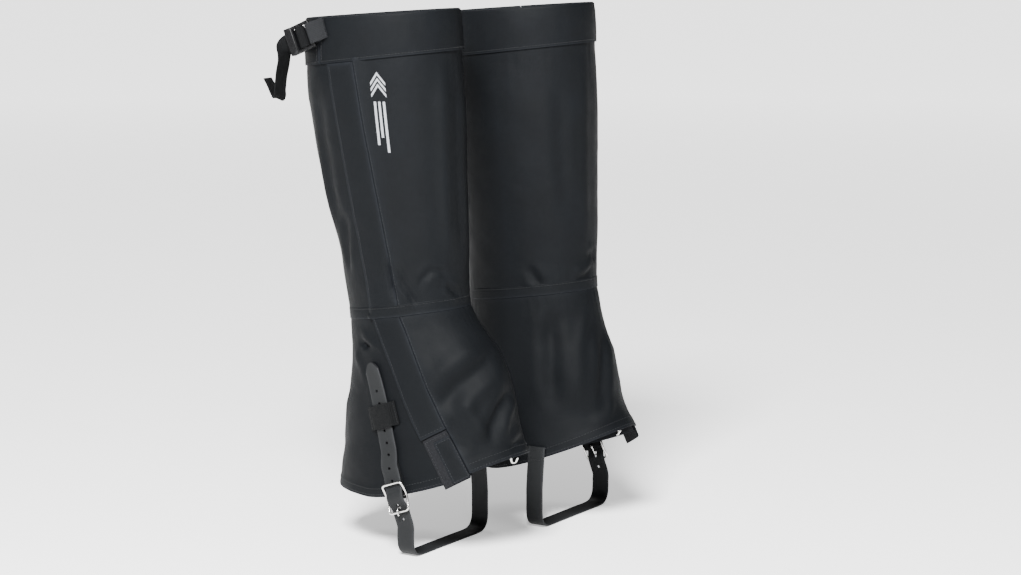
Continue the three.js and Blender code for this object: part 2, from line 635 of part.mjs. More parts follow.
function addSoleLoop(side, pose) {
  const { x, y, z } = swingPoint(pose);
  const floor = STRAP / 2;
  const at = (px, pz) => vec(px, y, pz);
  const corners = [at(x, floor), at(MEDIAL_STRAP_X, floor)];
  const curve = new THREE.CurvePath();
  curve.add(new THREE.LineCurve3(at(x, z), at(x, floor + SOLE_BEND)));
  curve.add(new THREE.QuadraticBezierCurve3(at(x, floor + SOLE_BEND), corners[0], at(x + SOLE_BEND, floor)));
  curve.add(new THREE.LineCurve3(at(x + SOLE_BEND, floor), at(MEDIAL_STRAP_X - SOLE_BEND, floor)));
  curve.add(new THREE.QuadraticBezierCurve3(at(MEDIAL_STRAP_X - SOLE_BEND, floor), corners[1],
    at(MEDIAL_STRAP_X, floor + SOLE_BEND)));
  curve.add(new THREE.LineCurve3(at(MEDIAL_STRAP_X, floor + SOLE_BEND), at(MEDIAL_STRAP_X, z)));
  const across = [vec(0, 1, 0), vec(0, 1, 0)];
  const strap = ribbon(curve, across, STRAP_WIDTH, STRAP, 36, 4, (u, v) => {
    const bulge = Math.sqrt(Math.max(0, 1 - v * v)) * JOINT_R;
    return { slide: bulge * ((u === 1) - (u === 0)) };
  });
  add(side, 'sole_strap', strap, 'strap');
}

// The strap's other end is sewn to the shell on the medial side.
function addStrapEnd(side, pose) {
  const { y, z } = swingPoint(pose);
  const x = MEDIAL_STRAP_X;
  const low = z + JOINT_HOLLOW;
  const curve = smooth([[x, low], [x, low + 8], [x - 1, low + 18], [x - 2.8, low + 30], [x - 4.4, MEDIAL_TOP]]
    .map(([px, pz]) => vec(px, y, pz)));
  const across = [vec(0, 1, 0), vec(0, 1, 0)];
  const strap = ribbon(curve, across, STRAP_WIDTH, STRAP, 5, 4, (u, v) => (
    u === 0 ? { slide: hollowEnd(v), narrow: HOLLOW_WIDTH } : {}));
  add(side, 'sole_strap_end', strap, 'strap');
}

// Webbing keeper: sewn flat to the shell at both ends, raised over the strap.
const KEEPER = { y: 57, z: 133, slant: 19, half: 17.5, height: 23 };

function addKeeper(side, pose) {
  const ends = 12.8;
  const rise = 10.9;
  const [flat, raised] = [SHELL_GAP + WEBBING, 0.9 + STRAP + 0.9 + WEBBING];
  const stops = [[-KEEPER.half, flat], [-ends, flat], [-rise, raised], [0, raised + 0.2],
    [rise, raised], [ends, flat], [KEEPER.half, flat]];
  const face = (inset) => (u, v) => {
    const [across, top] = stops[Math.round(u * (stops.length - 1))];
    const along = (v - 0.5) * KEEPER.height;
    const [sin, cos] = [Math.sin(rad(KEEPER.slant)), Math.cos(rad(KEEPER.slant))];
    const slip = inset && Math.abs(across) === rise ? 0.6 * Math.sign(across) : 0;
    const x = across - slip;
    return sidePoint(pose, KEEPER.y - x * cos + along * sin, KEEPER.z + x * sin + along * cos, top - inset);
  };
  add(side, 'keeper', slab(face(0), face(WEBBING), stops.length - 1, 1), 'webbing');
}

const PRONG_ROOM = [4.4, 9, 12];    // the slot cut through the tab's fold

// Folded tab that carries the buckle's middle bar. A slot leaves room for the prong.
function addBuckleTab(side, pose) {
  const frame = buckleFrame(pose);
  const turn = BAR_R + GAP + WEBBING / 2;
  const flat = SHELL_GAP + WEBBING / 2;
  const path = [40, 28, 18].map((along) => aboveBuckle(pose, along, flat));
  const eye = [[9, flat], [4.5, MIDDLE_BAR - turn + 0.1], [0, MIDDLE_BAR - turn],
    [-1.4, MIDDLE_BAR - turn * 0.78], [-turn, MIDDLE_BAR], [-1.4, MIDDLE_BAR + turn * 0.78],
    [0, MIDDLE_BAR + turn], [2, MIDDLE_BAR + turn * 0.9]];
  for (const [along, out] of eye) path.push(vec(0, along, out).applyMatrix4(frame));
  const across = [vec(1, 0, 0), vec(1, 0, 0)].map((forward) => forward.transformDirection(frame));
  const tab = ribbon(smooth(path), across, STRAP_WIDTH, WEBBING, 22);
  const slot = box(...PRONG_ROOM, [0, -0.5, MIDDLE_BAR]).applyMatrix4(frame);
  add(side, 'buckle_tab', cut(tab, [slot]), 'webbing');
}

// Wire frame: two outer bars, cambered sides and a straight middle bar nearer the leg.
function addBuckleFrame(side, pose) {
  const reach = FRAME_INNER / 2 + BAR_R;
  const corner = 3;
  const outline = [];
  const arc = (x, y, from) => {
    for (let k = 0; k <= 3; k++) {
      const angle = rad(from + 30 * k);
      outline.push([x + corner * Math.cos(angle), y + corner * Math.sin(angle)]);
    }
  };
  arc(reach - corner, FRAME_HALF - corner, 0);
  arc(corner - reach, FRAME_HALF - corner, 90);
  outline.push([-reach, 5.5], [-reach, 0], [-reach, -5.5]);
  arc(corner - reach, corner - FRAME_HALF, 180);
  arc(reach - corner, corner - FRAME_HALF, 270);
  outline.push([reach, -5.5], [reach, 0], [reach, 5.5]);
  const camber = (y) => lerp(MIDDLE_BAR, OUTER_BAR, Math.min(1, (Math.abs(y) / (FRAME_HALF - 1)) ** 1.5));
  const centre = outline.map(([x, y]) => vec(x, y, camber(y)));
  const sections = centre.map((point, i) => {
    const before = centre.at(i - 1);
    const after = centre[(i + 1) % centre.length];
    const along = after.clone().sub(before).normalize();
    const sideways = vec(0, 0, 1).cross(along).normalize();
    const up = along.clone().cross(sideways);
    return [0, 1, 2, 3, 4, 5].map((k) => point.clone()
      .addScaledVector(sideways, BAR_R * Math.cos(rad(60 * k)))
      .addScaledVector(up, BAR_R * Math.sin(rad(60 * k))));
  });
  const bar = new THREE.CylinderGeometry(BAR_R, BAR_R, 2 * reach, 8).rotateZ(Math.PI / 2)
    .translate(0, 0, MIDDLE_BAR);
  const frame = join(loft(sections, true), bar).applyMatrix4(buckleFrame(pose));
  add(side, 'buckle_frame', frame, 'nickel');
}

const PRONG_R = 0.9;
const PRONG_REST = OUTER_BAR + BAR_R + GAP + PRONG_R;

function addProng(side, pose) {
  const eye = BAR_R + GAP + PRONG_R;
  const hook = [60, 15, -30, -75, -120, -160]
    .map((a) => [eye * Math.cos(rad(a)), MIDDLE_BAR + eye * Math.sin(rad(a))]);
  const shank = [[-5.2, 3.2], [-7.4, 3.8], [-9, 5.6], [-10.6, 8], [-12.2, PRONG_REST - 0.3],
    [-14, PRONG_REST], [-16.4, PRONG_REST - 0.2]];
  const path = [...hook, ...shank].map(([y, z]) => vec(0, y, z));
  const prong = wire(path, PRONG_R, 20).applyMatrix4(buckleFrame(pose));
  add(side, 'buckle_prong', prong, 'nickel');
}

// ---------------------------------------------------------------- lace hook

// Inside the front hem a short webbing loop carries a wire hook for the boot's laces.
const LACE_TAB_TOP = 25;      // above the front hem
const LACE_BAR = 9;           // the hook's cross bar above the front hem
const LACE_WIRE = 1;          // radius of the hook's wire
const LACE_WEBBING = { width: 12, thick: 1 };
const LACE_PLAY = 0.6;        // clearance between the hook's bar and the tab's turn round it

// The wire runs along the tab, doubles back down to a point under it, and turns up into a hook.
const HOOK_ROUTE = [[8, 0, 0], [-8, 0, 0], [-9.4, 0, -1.6], [-8.4, 0.3, -6], [-3.2, 0.6, -12.2],
  [-2, 0.8, -16.5], [0, 0.4, -18.4], [1.8, -1.6, -17.6], [1.4, -4, -13.6]];

function addLaceHook(side, pose) {
  const inside = (up, depth) => sleevePoint(pose, 0, frontHem(0) + up, -depth);
  const { width, thick } = LACE_WEBBING;
  const near = FABRIC + LIGHT_FABRIC + 3 * SHELL_GAP + thick / 2;
  const turn = LACE_WIRE + LACE_PLAY + thick / 2;
  const bar = inside(LACE_BAR, near + turn + 0.3);
  const round = [165, 200, 235, 270, 305, 340, 375].map((a) =>
    bar.clone().add(vec(0, turn * Math.cos(rad(a)), turn * Math.sin(rad(a)))));
  const legs = near + thick + GAP;
  const path = [inside(LACE_TAB_TOP, near), inside(18, near), ...round,
    inside(18, legs), inside(LACE_TAB_TOP, legs)];
  const across = [vec(1, 0, 0), vec(1, 0, 0)];
  add(side, 'lace_hook_tab', ribbon(smooth(path), across, width, thick, 22), 'webbing');
  const hook = wire(HOOK_ROUTE.map((p) => vec(...p).add(bar)), LACE_WIRE, 22);
  add(side, 'lace_hook', hook, 'nickel');
}

// ---------------------------------------------------------------- both gaiters

for (const [side, pose] of Object.entries(POSES)) {
  addPanels(side, pose);
  addSeamAndHem(side, pose);
  addCollar(side, pose);
  addClosure(side, pose);
  addLock(side, pose);
  addTail(side, pose);
  addCollarStrap(side, pose);
  addInstepStrap(side, pose);
  addSoleLoop(side, pose);
  addStrapEnd(side, pose);
  addKeeper(side, pose);
  addBuckleTab(side, pose);
  addBuckleFrame(side, pose);
  addProng(side, pose);
  addLaceHook(side, pose);
}

export default gaiters;
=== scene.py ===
"""Looks for a pair of knee-high hiking gaiters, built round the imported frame.

Lengths in the tables are millimetres, as in the part's source. Every gaiter is shaped as a right one
and the left one is mirrored in X when its meshes are made.
"""
import json
import math

import bmesh
import bpy
import numpy as np
from mathutils import Matrix, Vector

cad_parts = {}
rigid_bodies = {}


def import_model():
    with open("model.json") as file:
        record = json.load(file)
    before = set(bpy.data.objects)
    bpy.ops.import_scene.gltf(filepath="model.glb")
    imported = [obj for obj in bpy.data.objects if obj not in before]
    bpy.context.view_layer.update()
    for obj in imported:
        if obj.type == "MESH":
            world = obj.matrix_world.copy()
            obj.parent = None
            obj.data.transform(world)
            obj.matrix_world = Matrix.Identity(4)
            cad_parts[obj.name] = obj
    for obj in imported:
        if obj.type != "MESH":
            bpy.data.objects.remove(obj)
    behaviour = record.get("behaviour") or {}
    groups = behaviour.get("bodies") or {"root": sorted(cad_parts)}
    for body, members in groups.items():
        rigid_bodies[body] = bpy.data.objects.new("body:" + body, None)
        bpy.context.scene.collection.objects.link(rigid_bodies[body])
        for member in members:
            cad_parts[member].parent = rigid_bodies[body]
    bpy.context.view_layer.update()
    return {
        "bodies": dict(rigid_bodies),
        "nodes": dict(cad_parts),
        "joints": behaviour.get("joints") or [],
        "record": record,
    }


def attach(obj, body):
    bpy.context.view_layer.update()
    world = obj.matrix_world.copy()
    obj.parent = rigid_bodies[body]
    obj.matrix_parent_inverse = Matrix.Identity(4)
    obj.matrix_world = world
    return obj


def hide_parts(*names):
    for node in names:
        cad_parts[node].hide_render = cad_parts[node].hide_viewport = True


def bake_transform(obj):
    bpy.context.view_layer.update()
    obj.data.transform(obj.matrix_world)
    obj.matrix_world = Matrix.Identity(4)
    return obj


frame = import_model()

# ---------------------------------------------------------------- dimensions, as in the part

MM = 0.001
LEG_X = 82.0
CENTRE_Y = 50.7
LEAN_FROM = 100          # height that stays put when a sleeve leans
ROOT = "gaiter_pair"

# columns: height, front of the right sleeve and of the left one, back of each, half width
HALF_WIDTH = 5
UPPER = np.array([
    [228.5, 2.5, 2.5, 125.1, 141, 50],
    [260, 3, 3, 130.6, 143.5, 50.5],
    [295, 3.2, 3.2, 136.6, 146.5, 52.5],
    [330, 4.7, 4.7, 147.8, 153, 55.5],
    [370, 5.7, 5.7, 157.5, 158.5, 58],
    [410, 7.4, 7.4, 166.3, 165, 60.5],
    [450, 10.3, 10.3, 172.5, 171, 62],
    [515, 16.5, 16.5, 171, 170.5, 62],
])
LOWER = np.array([
    [36, -84, -68, 142.8, 142.8, 62.5],
    [54, -78.5, -58, 141.3, 141.3, 62],
    [82, -68, -47, 138, 139.5, 60.5],
    [110, -57, -31, 133.5, 138, 58.5],
    [137, -51, -25, 130, 137.5, 57],
    [162, -44, -18.5, 126.8, 138, 55],
    [183, -33, -9, 124.8, 139, 53],
    [200, -18, -4, 124.2, 140, 51.5],
    [214, -6, -1, 124.6, 140.6, 50.5],
    [228.5, 2.5, 2.5, 125.1, 141, 50],
])
SEAM_MIDDLE, SEAM_RISE = 228.5, 9.5
MEDIAL_SEAM = -150.0
COLLAR_END = 115.0
SLOT_ANGLE = 162.0

# the closure's stitched line from the top down: where a run starts, y there, and its rise in y over a height
LINE_RUNS = ((229, 43.5, 43, 251), (130, -8, 51.5, 99), (60, -48.5, 40.5, 70))
FLAP_WIDTH = 31.0
PATCH_TOP = 126.0
TAB_TOP, TAB_LOW = 121.0, 83.0

FABRIC = 1.4
LIGHT_FABRIC = 0.8
WEBBING, WEBBING_WIDTH = 1.4, 20.0
STRAP, STRAP_WIDTH = 2.0, 19.0
HOLE_PITCH = 12.7


class Gaiter:
    """One sleeve: its front and back columns, how far forward it stands and how many degrees it leans."""

    def __init__(self, side, front, back, forward, lean):
        self.side, self.front, self.back, self.forward = side, front, back, forward
        self.slope = math.tan(math.radians(lean))


RIGHT = Gaiter("right", 1, 3, 0.0, 0.0)
LEFT = Gaiter("left", 2, 4, 45.0, 1.0)


def lerp(a, b, t):
    return a + (b - a) * t


def smoothstep(x, low, high):
    t = np.clip((np.asarray(x, float) - low) / (high - low), 0, 1)
    return t * t * (3 - 2 * t)


def unit(v):
    v = np.asarray(v, float)
    return v / np.maximum(np.linalg.norm(v, axis=-1, keepdims=True), 1e-12)


def section(rows, level, column):
    """A column of a section table at a level, on a smooth curve through the rows."""
    z, value = rows[:, 0], rows[:, column]
    n = len(z)
    before, after = np.maximum(np.arange(n) - 1, 0), np.minimum(np.arange(n) + 1, n - 1)
    slope = (value[after] - value[before]) / (z[after] - z[before])
    i = np.clip(np.searchsorted(z, level, side="right") - 1, 0, n - 2)
    span = z[i + 1] - z[i]
    t = np.clip((level - z[i]) / span, -0.5, 1.5)
    return ((2 * t**3 - 3 * t**2 + 1) * value[i] + (t**3 - 2 * t**2 + t) * span * slope[i]
            + (3 * t**2 - 2 * t**3) * value[i + 1] + (t**3 - t**2) * span * slope[i + 1])


def sizes(g, angle, height):
    """Front, back and half width of the sleeve's section through a point."""
    level = np.asarray(height, float) - SEAM_RISE * np.cos(np.radians(angle))

    def pick(column):
        return np.where(level < SEAM_MIDDLE, section(LOWER, level, column), section(UPPER, level, column))

    return pick(g.front), pick(g.back), pick(HALF_WIDTH)


def sleeve(g, angle, height, out=0.0):
    """Points `out` outside the sleeve's face. Angles run from the front, lateral side positive."""
    angle, height, out = np.broadcast_arrays(*(np.asarray(a, float) for a in (angle, height, out)))
    front, back, half = sizes(g, angle, height)
    turn = np.radians(angle)
    lean = g.forward + g.slope * (height - LEAN_FROM)
    x = -LEG_X - (half + out) * np.sin(turn)
    y = (front + back) / 2 - ((back - front) / 2 + out) * np.cos(turn) - lean - CENTRE_Y
    return np.stack([x, y, height], -1)


def angle_at(g, y, height):
    """The angle at which the lateral side passes y, given as on an upright right gaiter."""
    y, height = np.broadcast_arrays(np.asarray(y, float), np.asarray(height, float))
    angle = np.full(y.shape, 90.0)
    for _ in range(10):
        front, back, _half = sizes(g, angle, height)
        cosine = ((front + back) / 2 - y) / ((back - front) / 2)
        angle = 0.15 * angle + 0.85 * np.degrees(np.arccos(np.clip(cosine, -0.985, 0.985)))
    return angle


def mid_seam(angle):
    return SEAM_MIDDLE + SEAM_RISE * np.cos(np.radians(angle))


def collar_top(angle):
    return 515 + 6 * np.cos(np.radians(angle))


def collar_low(angle):
    return 472 + 10 * np.cos(np.radians(angle))


def back_hem(angle):
    turn = np.mod(np.asarray(angle, float) + 180, 360) - 180
    reach = np.minimum(np.abs(turn) / 115, 1)
    return 51 + 44 * np.cos(reach * np.pi / 2) ** 1.5


def front_hem(angle):
    return back_hem(angle) + 4 * smoothstep(angle, MEDIAL_SEAM, MEDIAL_SEAM + 90)


# ---------------------------------------------------------------- folds in the cloth

# each crease: kind, depth, width and its course as (degrees round the leg, height)
CREASES = {
    "right": [
        ("ridge", 2.2, 9, [(12, 500), (19, 430), (21, 360), (21, 285), (22, 262)]),
        ("valley", 1.0, 9, [(-2, 470), (2, 400), (2, 330), (0, 270)]),
        ("valley", 1.8, 3.0, [(79, 292), (77, 268), (73, 240)]),
        ("ridge", 1.2, 4.2, [(71, 288), (66, 262), (60, 240)]),
        ("valley", 2.0, 3.2, [(72, 276), (64, 256), (53, 239)]),
        ("valley", 1.3, 3.6, [(53, 254), (48, 266), (40, 274), (28, 273), (22, 264)]),
        ("ridge", 0.7, 6.0, [(47, 258), (38, 263), (30, 260)]),
        ("valley", 1.8, 4.0, [(24, 262), (20, 257), (13, 252), (6, 250)]),
        ("ridge", 2.0, 8.0, [(70, 160), (60, 178), (46, 191), (30, 201), (14, 208)]),
        ("valley", 3.4, 9.0, [(68, 138), (59, 151), (45, 167), (30, 178), (12, 188), (-8, 196)]),
        ("ridge", 2.2, 8.0, [(50, 158), (43, 148), (37, 130), (33, 112)]),
        ("valley", 2.4, 7.0, [(30, 106), (24, 128), (15, 142), (3, 154), (-10, 160)]),
        ("ridge", 1.6, 7.0, [(16, 112), (10, 136), (0, 146), (-16, 152)]),
        ("valley", 1.6, 6.0, [(56, 138), (52, 118), (50, 100)]),
        ("valley", 1.6, 5.0, [(14, 104), (0, 110), (-16, 112)]),
        ("valley", 2.6, 7.0, [(128, 202), (114, 192), (103, 172)]),
        ("ridge", 1.6, 8.0, [(140, 190), (124, 178), (113, 158)]),
        ("valley", 1.3, 8.0, [(118, 452), (125, 400), (127, 345), (121, 300)]),
        ("ridge", 1.2, 7.0, [(134, 400), (138, 340), (132, 280)]),
        ("valley", 1.5, 6.0, [(112, 330), (124, 290), (128, 262)]),
        ("valley", 1.6, 6.0, [(-30, 262), (-48, 254), (-70, 244)]),
        ("valley", 2.2, 7.0, [(-40, 186), (-62, 172), (-80, 150)]),
        ("ridge", 1.8, 8.0, [(-30, 160), (-52, 146), (-70, 126)]),
        ("valley", 1.8, 7.0, [(170, 262), (188, 252), (204, 248)]),
        ("valley", 2.0, 8.0, [(165, 200), (182, 180), (196, 150)]),
        ("ridge", 1.5, 8.0, [(150, 150), (160, 120), (166, 84)]),
    ],
    "left": [
        ("ridge", 1.6, 10, [(-8, 490), (-12, 420), (-13, 350), (-12, 270)]),
        ("valley", 1.1, 9, [(-34, 460), (-36, 380), (-34, 300)]),
        ("ridge", 2.0, 9.0, [(-6, 224), (-22, 205), (-34, 180), (-40, 150), (-42, 110)]),
        ("valley", 2.6, 9.0, [(-44, 222), (-54, 196), (-60, 160), (-62, 112)]),
        ("valley", 2.0, 8.0, [(6, 196), (-8, 172), (-18, 140), (-20, 112)]),
        ("ridge", 1.6, 6.0, [(-4, 128), (-20, 112), (-40, 104)]),
        ("valley", 1.6, 5.0, [(-70, 262), (-64, 248), (-56, 240)]),
        ("ridge", 1.2, 6.0, [(-30, 252), (-16, 256), (-2, 262)]),
        ("valley", 1.2, 5.0, [(-28, 246), (-14, 249), (0, 254)]),
        ("valley", 1.4, 5.0, [(10, 262), (2, 270), (-10, 272)]),
        ("valley", 3.0, 7.0, [(64, 146), (56, 164), (44, 178), (30, 188)]),
        ("ridge", 2.2, 7.0, [(50, 156), (44, 136), (42, 108)]),
        ("valley", 1.9, 4.0, [(77, 286), (75, 262), (73, 240)]),
        ("valley", 1.8, 5.0, [(56, 254), (46, 270), (30, 276)]),
        ("valley", 2.4, 7.0, [(128, 200), (114, 190), (103, 170)]),
        ("valley", 1.3, 8.0, [(118, 450), (126, 390), (124, 310)]),
        ("valley", 1.8, 7.0, [(168, 262), (186, 252), (204, 248)]),
        ("ridge", 1.5, 8.0, [(150, 150), (160, 120), (166, 84)]),
    ],
}
FOLD_DEPTH, FOLD_WIDTH = 1.4, 0.85      # factors on every depth and width listed above
AROUND = 1.15                           # millimetres round the sleeve per degree, near enough for folds
WRINKLES = ((0.55, 46, 3), (0.28, 19, 5), (0.1, 8, 7))     # depth, cell and seed of the small unevenness
# at each sewn level: which side of it, depth, pitch and how far the gathers reach
PUCKERS = [(collar_low, -1, 0.55, 9.5, 16), (mid_seam, 1, 0.5, 8.5, 12), (mid_seam, -1, 0.55, 9.0, 14)]


def value_noise(x, y, cell, seed):
    """Smooth seeded noise in -1..1 on a square grid."""
    table = np.random.RandomState(seed).uniform(-1, 1, (64, 64))
    fx, fy = np.asarray(x) / cell, np.asarray(y) / cell
    ix, iy = np.floor(fx).astype(int), np.floor(fy).astype(int)
    tx, ty = fx - ix, fy - iy
    tx, ty = tx * tx * (3 - 2 * tx), ty * ty * (3 - 2 * ty)
    at = lambda i, j: table[i % 64, j % 64]
    return lerp(lerp(at(ix, iy), at(ix + 1, iy), tx), lerp(at(ix, iy + 1), at(ix + 1, iy + 1), tx), ty)


def crease_shape(kind, depth, width, course, s, z):
    """Height of one crease over the flat sleeve: deepest along its course, fading at both ends."""
    path = np.array([(a * AROUND, h) for a, h in course], float)
    lengths = np.linalg.norm(np.diff(path, axis=0), axis=1)
    total, start = lengths.sum(), 0.0
    best, along = np.full(s.shape, 1e9), np.zeros(s.shape)
    for a, b, length in zip(path[:-1], path[1:], lengths):
        direction = (b - a) / length
        t = np.clip((s - a[0]) * direction[0] + (z - a[1]) * direction[1], 0, length)
        away = np.hypot(s - a[0] - t * direction[0], z - a[1] - t * direction[1])
        nearer = away < best
        along = np.where(nearer, (start + t) / total, along)
        best = np.where(nearer, away, best)
        start += length
    fade = FOLD_DEPTH * smoothstep(along, 0, 0.3) * (1 - smoothstep(along, 0.7, 1))
    width = width * FOLD_WIDTH
    core = np.exp(-((best / width) ** 2))
    if kind == "ridge":
        return depth * fade * core
    return fade * depth * (0.4 * np.exp(-(((best - 1.9 * width) / width) ** 2)) - core)


def folds(g, angle, height):
    """How far the worn cloth stands off the smooth sleeve."""
    turn = np.where(np.asarray(angle, float) < MEDIAL_SEAM, angle + 360.0, angle)
    turn, height = np.broadcast_arrays(turn, np.asarray(height, float))
    s = turn * AROUND
    result = 0
    for depth, cell, seed in WRINKLES:
        result = result + depth * value_noise(s, height, cell, seed)
    for kind, depth, width, course in CREASES[g.side]:
        result = result + crease_shape(kind, depth, width, course, s, height)
    for level, side, depth, pitch, reach in PUCKERS:
        away = (height - level(turn)) * side
        wave = np.sin(2 * np.pi * s / pitch + 2.2 * value_noise(s, 9, 30, 11))
        gate = np.clip(0.5 + value_noise(s, 4, 26, 13), 0, 1)
        fade = np.where(away > 0, np.exp(-away / reach), 0)
        result = result + depth * wave * gate * fade * (away < 3 * reach)
    # seams and the collar hold the cloth flat
    calm = smoothstep(np.abs(height - mid_seam(turn)), 0, 9) * smoothstep(collar_low(turn) - height, -2, 9)
    hem = smoothstep(height - back_hem(turn), 0, 16) * 0.75 + 0.25
    from_seam = np.minimum(turn - MEDIAL_SEAM, MEDIAL_SEAM + 360 - turn) * AROUND
    return result * calm * hem * smoothstep(from_seam, 0.5, 16)


# ---------------------------------------------------------------- meshes

def outward(points, faces):
    """Six times the volume that the faces close: negative where they face inwards."""
    a = points[faces[:, 0]]
    total = 0.0
    for k in range(1, faces.shape[1] - 1):
        total += float(np.sum(a * np.cross(points[faces[:, k]], points[faces[:, k + 1]])))
    return total


def make_object(g, name, points, quads, uv=None, wear=None, sharp=50, extra_faces=()):
    """A mesh object from millimetre points, mirrored for the left gaiter, facing outwards."""
    world = np.asarray(points, float) * MM
    if g.side == "left":
        world = world * [-1, 1, 1]
    middle = world.mean(axis=0)
    faces = [tuple(int(i) for i in q) for q in quads] + [tuple(f) for f in extra_faces]
    volume = outward(world - middle, np.asarray(quads))
    for f in extra_faces:
        volume += outward(world - middle, np.array([f]))
    if volume < 0:
        faces = [f[::-1] for f in faces]
    mesh = bpy.data.meshes.new(f"{g.side}_{name}")
    mesh.from_pydata(world.tolist(), [], faces)
    corner = np.zeros(len(mesh.loops), np.int32)
    mesh.loops.foreach_get("vertex_index", corner)
    if uv is not None:
        layer = mesh.uv_layers.new(name="cloth")
        layer.data.foreach_set("uv", (np.asarray(uv, np.float32) * MM)[corner].ravel())
    if wear is not None:
        attribute = mesh.attributes.new("wear", "FLOAT", "POINT")
        attribute.data.foreach_set("value", np.asarray(wear, np.float32).ravel())
    obj = bpy.data.objects.new(f"{g.side}_{name}", mesh)
    bpy.context.scene.collection.objects.link(obj)
    shade(obj, sharp)
    return obj


def shade(obj, sharp=50):
    """Smooth shading, except across edges sharper than an angle."""
    shape = bmesh.new()
    shape.from_mesh(obj.data)
    for face in shape.faces:
        face.smooth = True
    for edge in shape.edges:
        edge.smooth = edge.calc_face_angle(0) < math.radians(sharp)
    shape.to_mesh(obj.data)
    shape.free()


def turned_quads(quads):
    """The same quads from the same first corner, facing the other way."""
    return quads[:, [0, 3, 2, 1]]


def slab_faces(columns, rows, ring=False):
    """Quads of a closed slab: outer sheet, inner sheet and the rims between them."""
    i, j = np.meshgrid(np.arange(columns - (0 if ring else 1)), np.arange(rows - 1), indexing="ij")
    count = columns * rows
    at = lambda a, b: (a % columns) * rows + b
    outer = np.stack([at(i, j), at(i + 1, j), at(i + 1, j + 1), at(i, j + 1)], -1).reshape(-1, 4)
    inner = count + outer[:, ::-1]
    a = np.arange(columns - (0 if ring else 1))

    def rim(first, second):
        return np.stack([first, count + first, count + second, second], -1)

    top = rows - 1
    rims = [rim(at(a, 0), at(a + 1, 0)), turned_quads(rim(at(a, top), at(a + 1, top)))]
    if not ring:
        b, last = np.arange(rows - 1), columns - 1
        rims += [turned_quads(rim(at(0, b), at(0, b + 1))), rim(at(last, b), at(last, b + 1))]
    return np.concatenate([outer, inner] + rims)


def spread(count, edge, length):
    """0..1 samples with extra ones near both ends, for a rounded edge of that size on that length."""
    inner = np.linspace(edge / length, 1 - edge / length, count)
    rim = np.array([0, 0.12, 0.38, 0.7]) * edge / length
    return np.concatenate([rim, inner, 1 - rim[::-1]])


def roundness(u, v, across, along, radius):
    """Share of the full thickness near a slab's edges, and how near the edge each point is."""
    du = np.minimum(u, 1 - u) * across
    dv = np.minimum(v, 1 - v) * along
    away = np.minimum(du, dv)
    near = np.clip(1 - away / radius, 0, 1)
    return np.maximum(np.sqrt(1 - near**2), 0.22), np.exp(-away / 1.8)


def slab_object(g, name, outer, inner, uv, wear, ring=False):
    """A closed slab between two grids of points."""
    columns, rows = outer.shape[:2]
    points = np.concatenate([outer.reshape(-1, 3), inner.reshape(-1, 3)])
    both = [np.concatenate([values, values]) for values in (uv.reshape(-1, 2), wear.ravel())]
    return make_object(g, name, points, slab_faces(columns, rows, ring), *both, 60)


def area_of(points):
    """Area of a grid of millimetre points, in square metres."""
    a = points[1:, :-1] - points[:-1, :-1]
    b = points[:-1, 1:] - points[:-1, :-1]
    return float(np.linalg.norm(np.cross(a, b), axis=-1).sum()) * MM * MM


def length_of(points):
    return float(np.linalg.norm(np.diff(points, axis=0), axis=1).sum())


def run_along(points):
    """Distance from the first point to each one, along the path."""
    return np.concatenate([[0], np.cumsum(np.linalg.norm(np.diff(points, axis=0), axis=1))])


def smooth_path(points, extras=(), per_span=8):
    """Centripetal Catmull-Rom through the points. extras are lists of vectors that follow along."""
    p = np.array(points, float)
    p = np.vstack([2 * p[0] - p[1], p, 2 * p[-1] - p[-2]])
    extras = [np.array(e, float) for e in extras]
    spans = len(p) - 3
    out, followed = [], [[] for _ in extras]
    for k in range(spans):
        p0, p1, p2, p3 = p[k:k + 4]
        d0, d1, d2 = (max(np.linalg.norm(b - a) ** 0.5, 1e-4) for a, b in ((p0, p1), (p1, p2), (p2, p3)))
        m1 = ((p1 - p0) / d0 - (p2 - p0) / (d0 + d1) + (p2 - p1) / d1) * d1
        m2 = ((p2 - p1) / d1 - (p3 - p1) / (d1 + d2) + (p3 - p2) / d2) * d1
        for i in range(per_span + (k == spans - 1)):
            t = i / per_span
            out.append((2 * t**3 - 3 * t**2 + 1) * p1 + (t**3 - 2 * t**2 + t) * m1
                       + (3 * t**2 - 2 * t**3) * p2 + (t**3 - t**2) * m2)
            place = (k + t) / spans
            for e, values in zip(extras, followed):
                where = place * (len(e) - 1)
                low = min(int(where), len(e) - 2) if len(e) > 1 else 0
                values.append(e[low] if len(e) == 1 else lerp(e[low], e[low + 1], where - low))
    return [np.array(out)] + [np.array(v) for v in followed]


